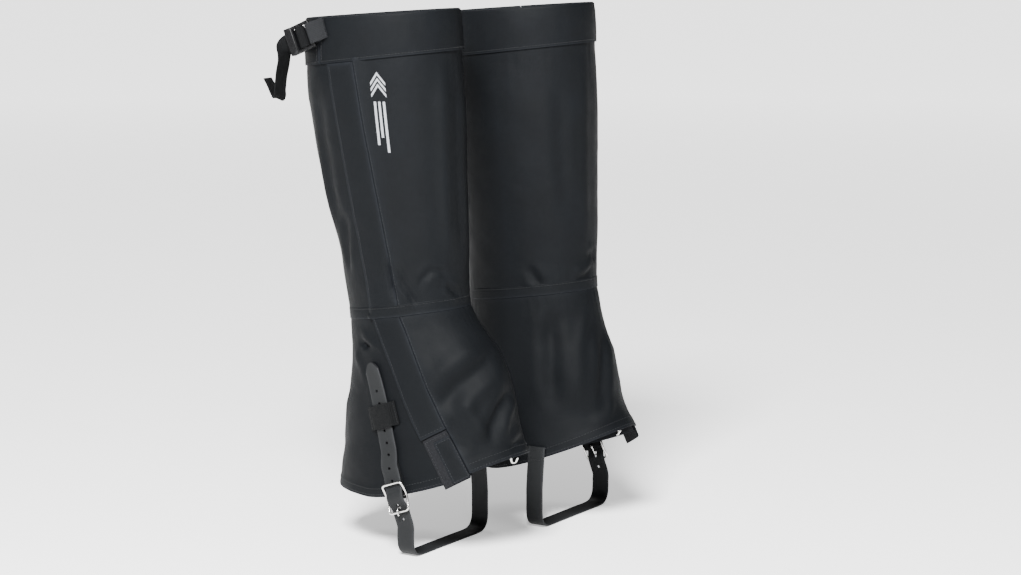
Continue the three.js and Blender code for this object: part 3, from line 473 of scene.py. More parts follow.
def strap_object(g, name, path, across, width, thickness, columns=9, slide=None, round_ends=False):
    """A flat strap with rounded edges along a dense path. slide(v) moves the two end rows."""
    tangent = unit(np.gradient(path, axis=0))
    side = unit(across - tangent * np.sum(across * tangent, -1, keepdims=True))
    normal = np.cross(side, tangent)
    edge = thickness * 0.5
    v = spread(columns, edge, width)
    along = run_along(path)
    u = along[:, None] * np.ones_like(v)[None]
    lateral = (v - 0.5)[None] * width * np.ones_like(u)
    push = np.zeros_like(u) if slide is None else slide(u, 2 * v[None] - 1, along[-1])
    centre = path[:, None] + tangent[:, None] * push[..., None] + side[:, None] * lateral[..., None]
    across_mm = np.minimum(v, 1 - v)[None] * width * np.ones_like(u)
    ends = np.minimum(u, along[-1] - u) if round_ends else np.full_like(u, 9.0)
    away = np.minimum(across_mm, ends)
    near = np.clip(1 - away / edge, 0, 1)
    share = np.maximum(np.sqrt(1 - near**2), 0.2)
    half = (share * thickness / 2)[..., None] * normal[:, None]
    uv = np.stack([u, lateral + 50], -1)
    wear = np.exp(-np.minimum(across_mm, 9) / 1.3)
    return slab_object(g, name, centre + half, centre - half, uv, wear)


def tube_object(g, name, path, radius, sides=12, closed=False):
    """A round wire along a dense path, with rounded ends."""
    path = np.asarray(path, float)
    if closed:
        tangent = unit(np.roll(path, -1, 0) - np.roll(path, 1, 0))
    else:
        tangent = unit(np.gradient(path, axis=0))
    start = np.array([0.31, 0.17, 0.93])
    if abs(tangent[0] @ unit(start)) > 0.9:
        start = np.array([1.0, 0.1, 0.0])
    side = [unit(start - tangent[0] * (start @ tangent[0]))]
    for t in tangent[1:]:
        side.append(unit(side[-1] - t * (side[-1] @ t)))
    side = np.array(side)
    up = np.cross(tangent, side)
    scale = np.ones(len(path))
    if not closed:
        lead = np.array([0.25, 0.7, 0.93])
        extra_start = [path[0] - tangent[0] * radius * s for s in (0.97, 0.7, 0.37)]
        extra_end = [path[-1] + tangent[-1] * radius * s for s in (0.37, 0.7, 0.97)]
        path = np.vstack([extra_start, path, extra_end])
        side = np.vstack([[side[0]] * 3, side, [side[-1]] * 3])
        up = np.vstack([[up[0]] * 3, up, [up[-1]] * 3])
        scale = np.concatenate([lead, scale, lead[::-1]])
    turn = 2 * np.pi * np.arange(sides) / sides
    rings = path[:, None] + radius * scale[:, None, None] * (
        np.cos(turn)[None, :, None] * side[:, None] + np.sin(turn)[None, :, None] * up[:, None])
    n = len(path)
    i, k = np.meshgrid(np.arange(n if closed else n - 1), np.arange(sides), indexing="ij")
    at = lambda a, b: (a % n) * sides + b % sides
    quads = np.stack([at(i, k), at(i, k + 1), at(i + 1, k + 1), at(i + 1, k)], -1).reshape(-1, 4)
    caps = () if closed else (tuple(range(sides))[::-1], tuple((n - 1) * sides + s for s in range(sides)))
    length = run_along(path)
    uv = np.stack(np.broadcast_arrays(length[:, None], (turn * radius)[None]), -1).reshape(-1, 2)
    return make_object(g, name, rings.reshape(-1, 3), quads, uv, None, 50, caps)


STITCH_PITCH, FINE_PITCH, STITCH_SHARE, THREAD_RADIUS = 3.1, 2.4, 0.74, 0.27


def stitch_object(g, name, points, normals, pitch):
    """A row of thread stitches, each a small bowed capsule half sunk in the cloth."""
    length, radius = pitch * STITCH_SHARE, THREAD_RADIUS
    points, normals = np.asarray(points, float), unit(normals)
    run = run_along(points)
    count = max(int(run[-1] / pitch), 1)
    centres = (np.arange(count) + 0.5) * run[-1] / count
    pick = lambda where, values: np.stack([np.interp(where, run, values[:, k]) for k in range(3)], -1)
    middle = pick(centres, points)
    tangent = unit(pick(centres + length / 2, points) - pick(centres - length / 2, points))
    normal = unit(pick(centres, normals))
    side = np.cross(tangent, normal)
    stations = [(-0.5, 0.25, -0.5), (-0.42, 0.75, 0.0), (0.0, 1.0, 0.35),     # along, thickness, rise
                (0.42, 0.75, 0.0), (0.5, 0.25, -0.5)]
    sides = 6
    turn = 2 * np.pi * np.arange(sides) / sides
    rings = []
    for along, thick, rise in stations:
        centre = middle + tangent * along * length + normal * rise * radius
        rings.append(centre[:, None] + radius * thick * (np.cos(turn)[None, :, None] * side[:, None]
                                                         + np.sin(turn)[None, :, None] * normal[:, None]))
    block = np.stack(rings, 1)                                   # stitches, stations, sides
    quads, caps = [], []
    last_ring = sides * (len(stations) - 1)
    for s in range(count):
        base = s * sides * len(stations)
        for ring in range(base, base + last_ring, sides):
            for k in range(sides):
                a, b = ring + k, ring + (k + 1) % sides
                quads.append((a, b, b + sides, a + sides))
        caps.append(tuple(base + k for k in range(sides))[::-1])
        caps.append(tuple(base + last_ring + k for k in range(sides)))
    return make_object(g, name, block.reshape(-1, 3), quads, None, None, 80, caps)


def join(objects, name):
    """Several meshes as one object."""
    with bpy.context.temp_override(active_object=objects[0], object=objects[0],
                                   selected_editable_objects=objects, selected_objects=objects):
        bpy.ops.object.join()
    objects[0].name = name
    objects[0].data.name = name
    return objects[0]


def boolean(obj, others, operation):
    """Cuts or joins other objects and removes them."""
    for other in others:
        modifier = obj.modifiers.new("cut", "BOOLEAN")
        modifier.operation, modifier.solver, modifier.object = operation, "EXACT", other
        with bpy.context.temp_override(object=obj, active_object=obj):
            bpy.ops.object.modifier_apply(modifier=modifier.name)
        bpy.data.objects.remove(other, do_unlink=True)


# ---------------------------------------------------------------- materials

def srgb(*levels):
    """Linear colour from 0..255 screen levels."""
    return tuple(((c / 255 + 0.055) / 1.055) ** 2.4 if c > 10 else c / 255 / 12.92 for c in levels) + (1.0,)


class Nodes:
    """Small helper that builds a shader graph."""

    def __init__(self, name, roughness, metallic=0.0, sheen=0.0, specular=0.5):
        self.material = bpy.data.materials.new(name)
        self.material.use_nodes = True
        self.tree = self.material.node_tree
        self.tree.nodes.clear()
        self.shader = self.new("ShaderNodeBsdfPrincipled")
        out = self.new("ShaderNodeOutputMaterial")
        self.tree.links.new(self.shader.outputs["BSDF"], out.inputs["Surface"])
        values = {"Roughness": roughness, "Metallic": metallic, "Sheen Weight": sheen,
                  "Sheen Roughness": 0.45, "Specular IOR Level": specular}
        for socket, value in values.items():
            self.shader.inputs[socket].default_value = value
        self.uv = self.new("ShaderNodeUVMap")
        self.uv.uv_map = "cloth"

    def new(self, kind, **settings):
        node = self.tree.nodes.new(kind)
        for key, value in settings.items():
            setattr(node, key, value)
        return node

    def link(self, value, socket):
        if hasattr(value, "is_output"):
            self.tree.links.new(value, socket)
        else:
            socket.default_value = value

    def math(self, operation, a, b=0.0, clamp=False):
        node = self.new("ShaderNodeMath", operation=operation, use_clamp=clamp)
        self.link(a, node.inputs[0])
        self.link(b, node.inputs[1])
        return node.outputs[0]

    def noise(self, scale, detail=3.0, roughness=0.5, stretch=(1, 1, 1), source=None):
        mapping = self.new("ShaderNodeMapping")
        mapping.inputs["Scale"].default_value = stretch
        self.tree.links.new(source or self.uv.outputs[0], mapping.inputs["Vector"])
        node = self.new("ShaderNodeTexNoise")
        node.inputs["Scale"].default_value = scale
        node.inputs["Detail"].default_value = detail
        node.inputs["Roughness"].default_value = roughness
        self.tree.links.new(mapping.outputs[0], node.inputs["Vector"])
        return node.outputs["Fac"]

    def mix(self, factor, a, b):
        node = self.new("ShaderNodeMix", data_type="RGBA")
        self.link(factor, node.inputs["Factor"])
        self.link(a, node.inputs["A"])
        self.link(b, node.inputs["B"])
        return node.outputs["Result"]

    def span(self, value, low, high):
        """Turns 0..1 into low..high."""
        return self.math("ADD", self.math("MULTIPLY", value, high - low), low)

    def weave(self, warp_pitch, weft_pitch, twill=0.0):
        """Height of a plain weave, or of a rib where the two pitches are far apart."""
        parts = self.new("ShaderNodeSeparateXYZ")
        self.tree.links.new(self.uv.outputs[0], parts.inputs[0])
        u = self.math("DIVIDE", parts.outputs[0], warp_pitch)
        v = self.math("DIVIDE", parts.outputs[1], weft_pitch)
        if twill:
            u = self.math("ADD", u, self.math("MULTIPLY", v, twill))
        warp = self.math("ABSOLUTE", self.math("SINE", self.math("MULTIPLY", u, math.pi)))
        weft = self.math("ABSOLUTE", self.math("SINE", self.math("MULTIPLY", v, math.pi)))
        checker = self.math("MODULO", self.math("ADD", self.math("FLOOR", u), self.math("FLOOR", v)), 2.0)
        checker = self.math("ABSOLUTE", checker)
        inverse = self.math("SUBTRACT", 1.0, checker)
        return self.math("ADD", self.math("MULTIPLY", warp, checker), self.math("MULTIPLY", weft, inverse))

    def bump(self, heights):
        """Chains bumps given as (height, strength, distance in metres)."""
        normal = None
        for height, strength, distance in heights:
            node = self.new("ShaderNodeBump")
            node.inputs["Strength"].default_value = strength
            node.inputs["Distance"].default_value = distance
            self.link(height, node.inputs["Height"])
            if normal is not None:
                self.tree.links.new(normal, node.inputs["Normal"])
            normal = node.outputs[0]
        self.tree.links.new(normal, self.shader.inputs["Normal"])

    def wear(self):
        node = self.new("ShaderNodeAttribute", attribute_name="wear")
        return node.outputs["Fac"]

    def finish(self, color, roughness, heights):
        self.link(color, self.shader.inputs["Base Color"])
        self.link(roughness, self.shader.inputs["Roughness"])
        self.bump(heights)
        return self.material


WARP, WEFT = 0.00062, 0.0007         # thread pitches of the shell's cloth, in metres


def fabric_material(name, dark, light, worn, warp=WARP, weft=WEFT, rough=(0.46, 0.6)):
    """Tightly woven, coated nylon: satin, with faint mottling and paler edges."""
    n = Nodes(name, 0.6, specular=0.05)
    cloud, streak = n.noise(22, 4, 0.6), n.noise(900, 2, 0.5, (1, 0.03, 1))
    mottle = n.math("ADD", n.math("MULTIPLY", cloud, 0.75), n.math("MULTIPLY", streak, 0.25))
    base = n.mix(mottle, dark, light)
    weave = n.weave(warp, weft)
    base = n.mix(n.math("MULTIPLY", n.math("SUBTRACT", 1.0, weave), 0.4), base, dark)
    base = n.mix(n.math("MULTIPLY", n.wear(), n.span(n.noise(160, 3), 0.1, 0.75), True), base, worn)
    roughness = n.span(n.noise(60, 3), *rough)
    return n.finish(base, roughness, [(n.noise(75, 5, 0.62), 0.3, 0.0011), (weave, 0.42, 0.00014)])


def webbing_material(name, dark, light, pitch=0.0011):
    """Ribbed nylon webbing: herringbone rows along the strap."""
    n = Nodes(name, 0.7, specular=0.08)
    weave = n.weave(0.0008, pitch, 0.5)
    rib = n.weave(0.1, 0.0021)
    base = n.mix(weave, dark, light)
    base = n.mix(n.math("MULTIPLY", n.wear(), n.span(n.noise(300, 2), 0.0, 0.6)), base, light)
    return n.finish(base, n.span(n.noise(200, 3), 0.55, 0.8), [(rib, 0.5, 0.0005), (weave, 1.0, 0.0005)])


def pile_material(name, dark, light, fuzz=900):
    """Hook or loop tape: a short, rough pile."""
    n = Nodes(name, 0.95, sheen=0.04, specular=0.05)
    pile, clump = n.noise(fuzz * 2.2, 4, 0.8), n.noise(fuzz * 0.5, 3, 0.6)
    base = n.mix(n.math("MULTIPLY", pile, clump), dark, light)
    return n.finish(base, n.span(clump, 0.85, 1.0), [(clump, 0.8, 0.0007), (pile, 1.0, 0.0006)])


def rubber_material(name, dark, light, worn):
    """Moulded strap: fine pebble, slightly dusty, paler along the edges and near the holes."""
    n = Nodes(name, 0.6, specular=0.1)
    grain, dust = n.noise(1500, 3, 0.6), n.noise(45, 5, 0.65)
    base = n.mix(dust, dark, light)
    scuff = n.math("GREATER_THAN", n.noise(260, 6, 0.75, (0.35, 1, 1)), 0.66)
    base = n.mix(n.math("MULTIPLY", scuff, 0.25), base, worn)
    base = n.mix(n.math("MULTIPLY", n.wear(), n.span(n.noise(120, 3), 0.1, 0.8)), base, worn)
    return n.finish(base, n.span(dust, 0.42, 0.62), [(grain, 0.35, 0.00025), (n.noise(130, 3), 0.15, 0.0006)])


def plastic_material(name, dark, light):
    """Moulded acetal buckle: fine spark grain, and a painted highlight that makes the convex edges paler."""
    n = Nodes(name, 0.4, specular=0.16)
    coordinates = n.new("ShaderNodeTexCoord").outputs["Object"]
    grain, cloud = n.noise(2600, 2, 0.5, source=coordinates), n.noise(110, 3, 0.6, source=coordinates)
    pointed = n.new("ShaderNodeNewGeometry").outputs["Pointiness"]
    # painted highlight: convex edges, found by pointiness, mixed towards a paler grey
    edge = n.math("MULTIPLY", n.math("SUBTRACT", pointed, 0.52), 6.0, True)
    base = n.mix(n.math("MULTIPLY", edge, 0.5), n.mix(cloud, dark, light), srgb(34, 35, 37))
    return n.finish(base, n.span(cloud, 0.3, 0.46), [(grain, 0.25, 0.0002)])


def nickel_material(name):
    """Plated wire: bright, with hairline polishing marks and dull patches."""
    n = Nodes(name, 0.2, metallic=1.0)
    coordinates = n.new("ShaderNodeTexCoord").outputs["Object"]
    cloud = n.noise(180, 4, 0.6, source=coordinates)
    hair = n.noise(900, 2, 0.5, (1, 1, 6), source=coordinates)
    base = n.mix(cloud, srgb(222, 221, 218), srgb(190, 189, 187))
    return n.finish(base, n.span(cloud, 0.14, 0.34), [(hair, 0.06, 0.0001)])


def thread_material(name, color, light):
    n = Nodes(name, 0.7, sheen=0.05, specular=0.25)
    coordinates = n.new("ShaderNodeTexCoord").outputs["Object"]
    twist = n.noise(2200, 2, 0.5, (1, 1, 2), source=coordinates)
    return n.finish(n.mix(twist, color, light), n.span(twist, 0.55, 0.8), [(twist, 0.6, 0.0002)])


def print_material(name):
    """Reflective transfer print: pale grey, slightly cracked and worn."""
    n = Nodes(name, 0.5, specular=0.5)
    wear = n.math("GREATER_THAN", n.noise(420, 6, 0.7), 0.68)
    base = n.mix(n.noise(80, 3), srgb(122, 125, 130), srgb(146, 148, 152))
    base = n.mix(n.math("MULTIPLY", wear, 0.55), base, srgb(96, 98, 102))
    return n.finish(base, n.span(n.noise(150, 3), 0.4, 0.6), [(n.weave(WARP, WEFT), 0.3, 0.0001)])


# the floor's glow under the gaiters and far from them, and how many metres far is
FLOOR_GLOW, FLOOR_FAR = (0.5, 2.4), 5.0


def floor_material(name):
    n = Nodes(name, 0.85, specular=0.1)
    n.shader.inputs["Emission Color"].default_value = (1, 1, 1, 1)
    coordinates = n.new("ShaderNodeTexCoord").outputs["Object"]
    away = n.new("ShaderNodeVectorMath", operation="LENGTH")
    n.tree.links.new(coordinates, away.inputs[0])
    far = n.math("DIVIDE", away.outputs["Value"], FLOOR_FAR, True)
    n.link(n.span(far, *FLOOR_GLOW), n.shader.inputs["Emission Strength"])
    cloud = n.noise(3, 3, 0.5, source=coordinates)
    return n.finish(n.mix(cloud, srgb(243, 243, 243), srgb(248, 248, 248)), n.span(cloud, 0.8, 0.9),
                    [(cloud, 0.02, 0.001)])


M = {
    "fabric": fabric_material("coated nylon", srgb(10, 11, 12), srgb(15, 17, 20), srgb(29, 31, 35)),
    "lower": fabric_material("coated nylon, lower", srgb(9, 10, 12), srgb(14, 16, 18), srgb(27, 29, 33),
                             0.00078, 0.00085, (0.5, 0.64)),
    "binding": fabric_material("binding tape", srgb(12, 13, 15), srgb(17, 18, 21), srgb(28, 30, 33),
                               0.0009, 0.0012),
    "webbing": webbing_material("nylon webbing", srgb(3, 3, 4), srgb(15, 16, 17)),
    "loop_webbing": webbing_material("grey ribbed webbing", srgb(5, 5, 6), srgb(34, 35, 37), 0.0016),
    "hook": pile_material("hook tape", srgb(6, 6, 7), srgb(22, 23, 25), 1300),
    "loop": pile_material("loop tape", srgb(13, 13, 15), srgb(42, 43, 46)),
    "rubber": rubber_material("moulded strap", srgb(20, 21, 22), srgb(27, 28, 29), srgb(44, 45, 47)),
    "plastic": plastic_material("acetal", srgb(3, 3, 4), srgb(7, 7, 8)),
    "nickel": nickel_material("nickel wire"),
    "thread": thread_material("dark thread", srgb(6, 7, 8), srgb(20, 22, 25)),
    "print": print_material("pale print"),
}


def finish_piece(obj, material, body=ROOT, slot="shell_fabric", stands_for=(), blend=None):
    """Gives a piece its material and rides it on a body; given a blend, bakes its place into the mesh and
    leaves it unparented. Hides the parts it stands for.
    """
    obj.data.materials.clear()
    obj.data.materials.append(M[material])
    if blend:
        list(blend)
        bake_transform(obj)
    else:
        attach(obj, body)
    side = obj.name.split("_")[0]
    if stands_for:
        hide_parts(*[f"{side}_{node}" for node in stands_for])


def place(g, point):
    """A millimetre point as a world place, mirrored for the left gaiter."""
    x, y, z = (float(c) * MM for c in point)
    return (-x if g.side == "left" else x, y, z)


# ---------------------------------------------------------------- closure line and worn surface

def by_run(height, upper, middle, lower):
    return np.where(height > LINE_RUNS[0][0], upper, np.where(height > LINE_RUNS[1][0], middle, lower))


def line_slope(height):
    return by_run(height, *[rise / over for _start, _y, rise, over in LINE_RUNS])


def line_y(height):
    height = np.asarray(height, float)
    return by_run(height, *[y + (height - start) * rise / over for start, y, rise, over in LINE_RUNS])


def ahead_of_line(g, angle, height):
    """Distance ahead of the closure line, square to it."""
    y = upright_y(g, sleeve(g, angle, height))
    return (line_y(height) - y) / np.hypot(1, line_slope(height))


def on_lateral_side(angle):
    return np.mod(angle + 180, 360) - 180 > 0


def closure_angle(g, height, shift=0.0):
    return angle_at(g, line_y(height) + shift, height)


# visual levels over the shell
LOOP_OUT, HOOK_OUT, FLAP_OUT = 0.35, 0.95, 1.65
FLAP_FACE = FLAP_OUT + LIGHT_FABRIC
RAMP = 15.0
STRAP_COURSE = np.array([[0, 16], [30, 26], [57.5, 35.5], [99, 46.5],        # height, y of the instep strap
                         [130, 56], [163, 67.5], [182, 76], [260, 96]])


def upright_y(g, point):
    """y of a millimetre point as on an upright right gaiter."""
    return point[..., 1] + CENTRE_Y + g.forward + g.slope * (point[..., 2] - LEAN_FROM)


def strap_calm(g, angle, height):
    """0 under the instep strap and its buckle, where the cloth lies flat, and 1 away from them."""
    y = upright_y(g, sleeve(g, angle, height))
    away = np.abs(y - np.interp(height, STRAP_COURSE[:, 0], STRAP_COURSE[:, 1]))
    lateral = (np.mod(angle, 360) > 40) & (np.mod(angle, 360) < 165) & (height < 196)
    return np.where(lateral, smoothstep(away, 11, 26), 1.0)


def surface(g, angle, height, out=0.0):
    """Points on the worn cloth."""
    return sleeve(g, angle, height, out + folds(g, angle, height) * strap_calm(g, angle, height))


def side_surface(g, y, height, out=0.0):
    return surface(g, angle_at(g, y, height), height, out)


def closure_rise(g, angle, height):
    """How far the front panel has risen to the flap's level, ahead of the closure line."""
    ahead = ahead_of_line(g, angle, height)
    return np.where(on_lateral_side(angle), 1 - smoothstep(ahead, 0.8, RAMP), 0.0)


# ---------------------------------------------------------------- sewn panels

def solve_layer(start, end, low, high, u, v):
    """Angle and height of each sample between two edges and two levels."""
    u, v = np.meshgrid(u, v, indexing="ij")
    height = np.full(u.shape, 200.0)
    angle = start(height)
    for _ in range(7):
        height = lerp(low(angle), high(angle), v)
        angle = lerp(start(height), end(height), u)
    return angle, height


def constant(value):
    return lambda height: np.full(np.shape(height), float(value))


def shifted(level, by):
    return lambda angle: level(angle) + by


HEM_TURN = 9.5
# how far above the hem, the mid seam and the collar's lower edge their stitched rows run
HEM_ROWS, SEAM_ROW, COLLAR_ROW = (2.6, 8.3), 7.6, 2.4
# a panel's rounded edge, and the spacing of its mesh round the leg and up it
PANEL_EDGE, PANEL_COLUMNS, PANEL_ROWS = 1.1, 2.7, 2.6


def add_panel(g, name, start, end, low, high, material, width, length, front=False, hem=None):
    """One sewn panel of the sleeve, with its folds, as a closed sheet with rounded edges."""
    edge = PANEL_EDGE
    u, v = spread(int(width / PANEL_COLUMNS), edge, width), spread(int(length / PANEL_ROWS), edge, length)
    angle, height = solve_layer(start, end, low, high, u, v)
    share, wear = roundness(u[:, None], v[None], width, length, edge)
    middle, half = -FABRIC / 2, FABRIC / 2
    rise = FLAP_FACE * closure_rise(g, angle, height) if front else 0.0
    turned = 0.0
    if hem is not None:
        turned = 0.45 * (1 - smoothstep(height - hem(angle), HEM_TURN - 0.7, HEM_TURN + 0.7))
    outer = surface(g, angle, height, middle + half * share + rise + turned)
    inner = surface(g, angle, height, middle - half * share + 0.6 * rise)
    uv = np.stack([angle * AROUND, height], -1)
    obj = slab_object(g, name, outer, inner, uv, wear)
    flat = (max(length_of(outer[:, j]) for j in (4, outer.shape[1] // 2, -5)) * MM,
            max(length_of(outer[i]) for i in (4, outer.shape[0] // 2, -5)) * MM)
    finish_piece(obj, material, stands_for=(name,))


def add_panels(g):
    line = lambda height: closure_angle(g, height, -0.2)
    under = lambda height: closure_angle(g, height, 0.2)
    sewn, sewn_back = constant(MEDIAL_SEAM - 0.3), constant(MEDIAL_SEAM + 360 + 0.3)
    top = shifted(collar_low, 3.0)
    over, below = shifted(mid_seam, 0.15), shifted(mid_seam, -0.15)
    add_panel(g, "upper_front_panel", sewn, line, over, top, "fabric", 262, 246, front=True)
    add_panel(g, "upper_back_panel", under, sewn_back, over, top, "fabric", 170, 240)
    add_panel(g, "lower_front_panel", sewn, line, front_hem, below, "lower", 262, 150,
              front=True, hem=front_hem)
    add_panel(g, "lower_back_panel", under, sewn_back, back_hem, below, "lower", 175, 170, hem=back_hem)


def seam_lift(g, angle, height):
    """Level that a band sewn over the closure follows: over the front ramp, then over the flap."""
    ahead = ahead_of_line(g, angle, height)
    rise = np.where(ahead > 0, 1 - smoothstep(ahead, 0.8, RAMP), 1 - smoothstep(-ahead, 29.5, 33.5))
    return np.where(on_lateral_side(angle), rise, 0.0) * FLAP_FACE


SEAM_BAND = 9.5


def add_mid_seam(g):
    """The upper part laps over the lower one; a band with a row of topstitching holds the lap."""
    angle = np.linspace(0, 360, 150, endpoint=False)
    up = np.array([-1.7, -1.6, -1.3, -0.8, 0.5, 2.5, 4.5, 6.3, 7.4, 8.3, 9.2, SEAM_BAND])
    level = np.array([0.3, 0.62, 0.74, 0.76, 0.7, 0.6, 0.5, 0.4, 0.2, 0.3, 0.14, -0.1])
    turn, rows = np.meshgrid(angle, up, indexing="ij")
    height = mid_seam(turn) + rows
    lift = seam_lift(g, turn, height)
    gather = 0.1 * np.sin(turn * 1.9) * np.clip(value_noise(turn, 0, 23, 4), 0, 1)
    outer = surface(g, turn, height, level[None] + lift + gather)
    inner = surface(g, turn, height, np.minimum(level[None] - 0.5, 0.05) + lift)
    wear = np.exp(-np.abs(rows + 1.4) / 0.7)
    uv = np.stack([turn * AROUND + 400, height], -1)
    band = slab_object(g, "mid_seam", outer, inner, uv, wear, ring=True)
    finish_piece(band, "fabric", stands_for=("mid_seam",))
    turn = np.linspace(0, 360, 400)
    height = mid_seam(turn) + SEAM_ROW
    out = 0.4 + seam_lift(g, turn, height)
    add_stitches(g, "mid_seam_stitches", surface(g, turn, height, out), surface(g, turn, height, out + 1))


def add_stitches(g, name, points, above, body=ROOT, blend=None, pitch=STITCH_PITCH):
    finish_piece(stitch_object(g, name, points, above - points, pitch), "thread", body, blend=blend)


def add_hem(g):
    """Tape inside the hem, and the two rows that hold it."""
    closure = float(closure_angle(g, 70.0))
    u = np.linspace(0, 1, 150)
    turn = lerp(closure + 1.2, closure + 359, u)
    past_seam = np.where(turn < MEDIAL_SEAM + 360, 0, smoothstep(turn, MEDIAL_SEAM + 358, MEDIAL_SEAM + 362))
    low = lerp(back_hem(turn), front_hem(turn - 360), past_seam)
    v = np.array([0, 0.04, 0.2, 0.5, 0.8, 0.96, 1.0])
    share = np.array([0.25, 0.8, 1, 1, 1, 0.8, 0.25])
    angle, rows = np.meshgrid(turn, v, indexing="ij")
    height = low[:, None] + lerp(0.8, 10.2, rows)
    half = LIGHT_FABRIC / 2 * share[None]
    depth = FABRIC + 0.65
    outer, inner = surface(g, angle, height, -depth + half), surface(g, angle, height, -depth - half)
    uv = np.stack([angle * AROUND, height], -1)
    wear = np.exp(-np.minimum(rows, 1 - rows) * 9)
    tape = slab_object(g, "hem", outer, inner, uv, wear)
    finish_piece(tape, "binding", slot="binding", stands_for=("hem",))
    courses = {
        "front": (MEDIAL_SEAM + 0.8, float(closure_angle(g, 88.0)) - 1.2, front_hem),
        "back": (float(closure_angle(g, 74.0)) + 1.2, MEDIAL_SEAM + 359.2, back_hem),
    }
    for k, up in enumerate(HEM_ROWS):
        for part, (first, last, hem) in courses.items():
            turns = np.linspace(first, last, 200)
            height = hem(turns) + up
            rise = FLAP_FACE * closure_rise(g, turns, height) if part == "front" else 0.0
            out = 0.42 + rise
            add_stitches(g, f"hem_stitches_{part}_{k}", surface(g, turns, height, out),
                         surface(g, turns, height, out + 1))


# ---------------------------------------------------------------- collar

COLLAR_HALF = 0.42           # half the cloth's thickness


def collar_profile():
    """The folded band's section: out from the sleeve, share of the collar's height, drop from its top."""
    rows = [(1.15, 0.0, 0), (1.2, 0.02, 0), (1.3, 0.08, 0), (1.5, 0.16, 0), (1.8, 0.28, 0), (2.0, 0.4, 0),
            (2.1, 0.52, 0), (2.1, 0.64, 0), (2.0, 0.76, 0), (1.8, 0.87, 0), (1.35, 0.95, 0)]
    arc = [(-0.55 + 1.9 * math.cos(math.radians(a)), None, 1.9 - 1.9 * math.sin(math.radians(a)))
           for a in range(15, 180, 15)]
    back = [(-2.6 - 0.25 * math.sin(math.pi * s), s, 0)
            for s in (0.93, 0.84, 0.7, 0.55, 0.4, 0.25, 0.12, 0.03, 0.0)]
    return rows + arc + back


def collar_grid(g, turn, shift=0.0):
    """Out and height of the collar's middle surface over angles, offset outwards by shift."""
    profile = collar_profile()
    low, high = collar_low(turn), collar_top(turn) - 0.4
    outs, heights = [], []
    for out, share, drop in profile:
        heights.append(lerp(low, high - 1.6, share) if share is not None else high - drop)
        outs.append(np.full(turn.shape, out))
    out, height = np.stack(outs, 1), np.stack(heights, 1)
    s = turn[:, None] * AROUND
    puff = np.sin(np.pi * np.clip((height - low[:, None]) / (high - low)[:, None], 0, 1))
    outside = 1 / (1 + np.exp(-(out + 0.4) * 2))
    wave = 0.4 * value_noise(s, height, 24, 21) + 0.25 * value_noise(s * 1.6, height, 11, 23)
    gathers = 0.3 * np.sin(2 * np.pi * s / 8.5 + 2 * value_noise(s, 0, 30, 25))
    gathers = gathers * np.exp(-(height - low[:, None]) / 6) * np.clip(value_noise(s, 0, 40, 27) + 0.4, 0, 1)
    worn = (wave * (0.4 + 0.6 * outside) + gathers * outside) * puff
    d_out, d_height = np.gradient(out, axis=1), np.gradient(height, axis=1)
    length = np.hypot(d_out, d_height)
    out = out + worn + shift * d_height / length
    height = height - shift * d_out / length
    return out, height


def add_collar_band(g, name, start, end, columns):
    turn = lerp(start, end, spread(columns, 0.8, (end - start) * AROUND))
    ends = np.minimum(turn - start, end - turn) * AROUND
    share = np.maximum(np.sqrt(1 - np.clip(1 - ends / 0.8, 0, 1) ** 2), 0.25)[:, None, None]
    faces = []
    for shift in (COLLAR_HALF, -COLLAR_HALF):
        out, height = collar_grid(g, turn, shift)
        faces.append(sleeve(g, turn[:, None], height, out))
    middle = (faces[0] + faces[1]) / 2
    outer, inner = middle + (faces[0] - middle) * share, middle + (faces[1] - middle) * share
    rows = outer.shape[1]
    run = run_along(outer[len(turn) // 2])
    uv = np.stack([np.broadcast_to(turn[:, None] * AROUND, outer.shape[:2]),
                   np.broadcast_to(run[None] + 600, outer.shape[:2])], -1)
    crest = np.exp(-((np.arange(rows) - 16) / 2.4) ** 2)[None]
    wear = np.maximum(np.exp(-ends[:, None] / 1.2), 0.7 * crest)
    wear = np.maximum(wear, np.exp(-np.arange(rows)[None] / 0.7))
    obj = slab_object(g, name, outer, inner, uv, wear)
    area = area_of(outer)
    flat = (length_of(outer[:, 8]) * MM, float(run[-1]) * MM)
    if name == "collar_back":
        at = sleeve(g, SLOT_ANGLE, float(collar_strap_height(SLOT_ANGLE)), 2.0)
        tool = rounded_box(g, "slot_cutter", (7.5, 6.5, 24.5), 1.6)
        turn_z = math.radians(22 if g.side == "right" else -22)
        tool.data.transform(Matrix.Rotation(turn_z, 4, "Z"))
        tool.data.transform(Matrix.Translation(Vector(place(g, at))))
        boolean(obj, [tool], "DIFFERENCE")
        shade(obj, 55)
    finish_piece(obj, "fabric", stands_for=(name,))


def collar_strap_height(angle):
    return (collar_low(angle) + collar_top(angle) - 0.8) / 2 + 1


def rounded_box(g, name, size, radius, centre=(0, 0, 0), segments=3):
    """A box with rounded edges, in millimetres, as an object at the origin."""
    shape = bmesh.new()
    bmesh.ops.create_cube(shape, size=1.0)
    for vert in shape.verts:
        vert.co = Vector([(c * s + m) * MM for c, s, m in zip(vert.co, size, centre)])
    bmesh.ops.bevel(shape, geom=shape.edges[:], offset=radius * MM, segments=segments, profile=0.5,
                    affect="EDGES", clamp_overlap=True)
    mesh = bpy.data.meshes.new(f"{g.side}_{name}")
    shape.to_mesh(mesh)
    shape.free()
    obj = bpy.data.objects.new(f"{g.side}_{name}", mesh)
    bpy.context.scene.collection.objects.link(obj)
    return obj


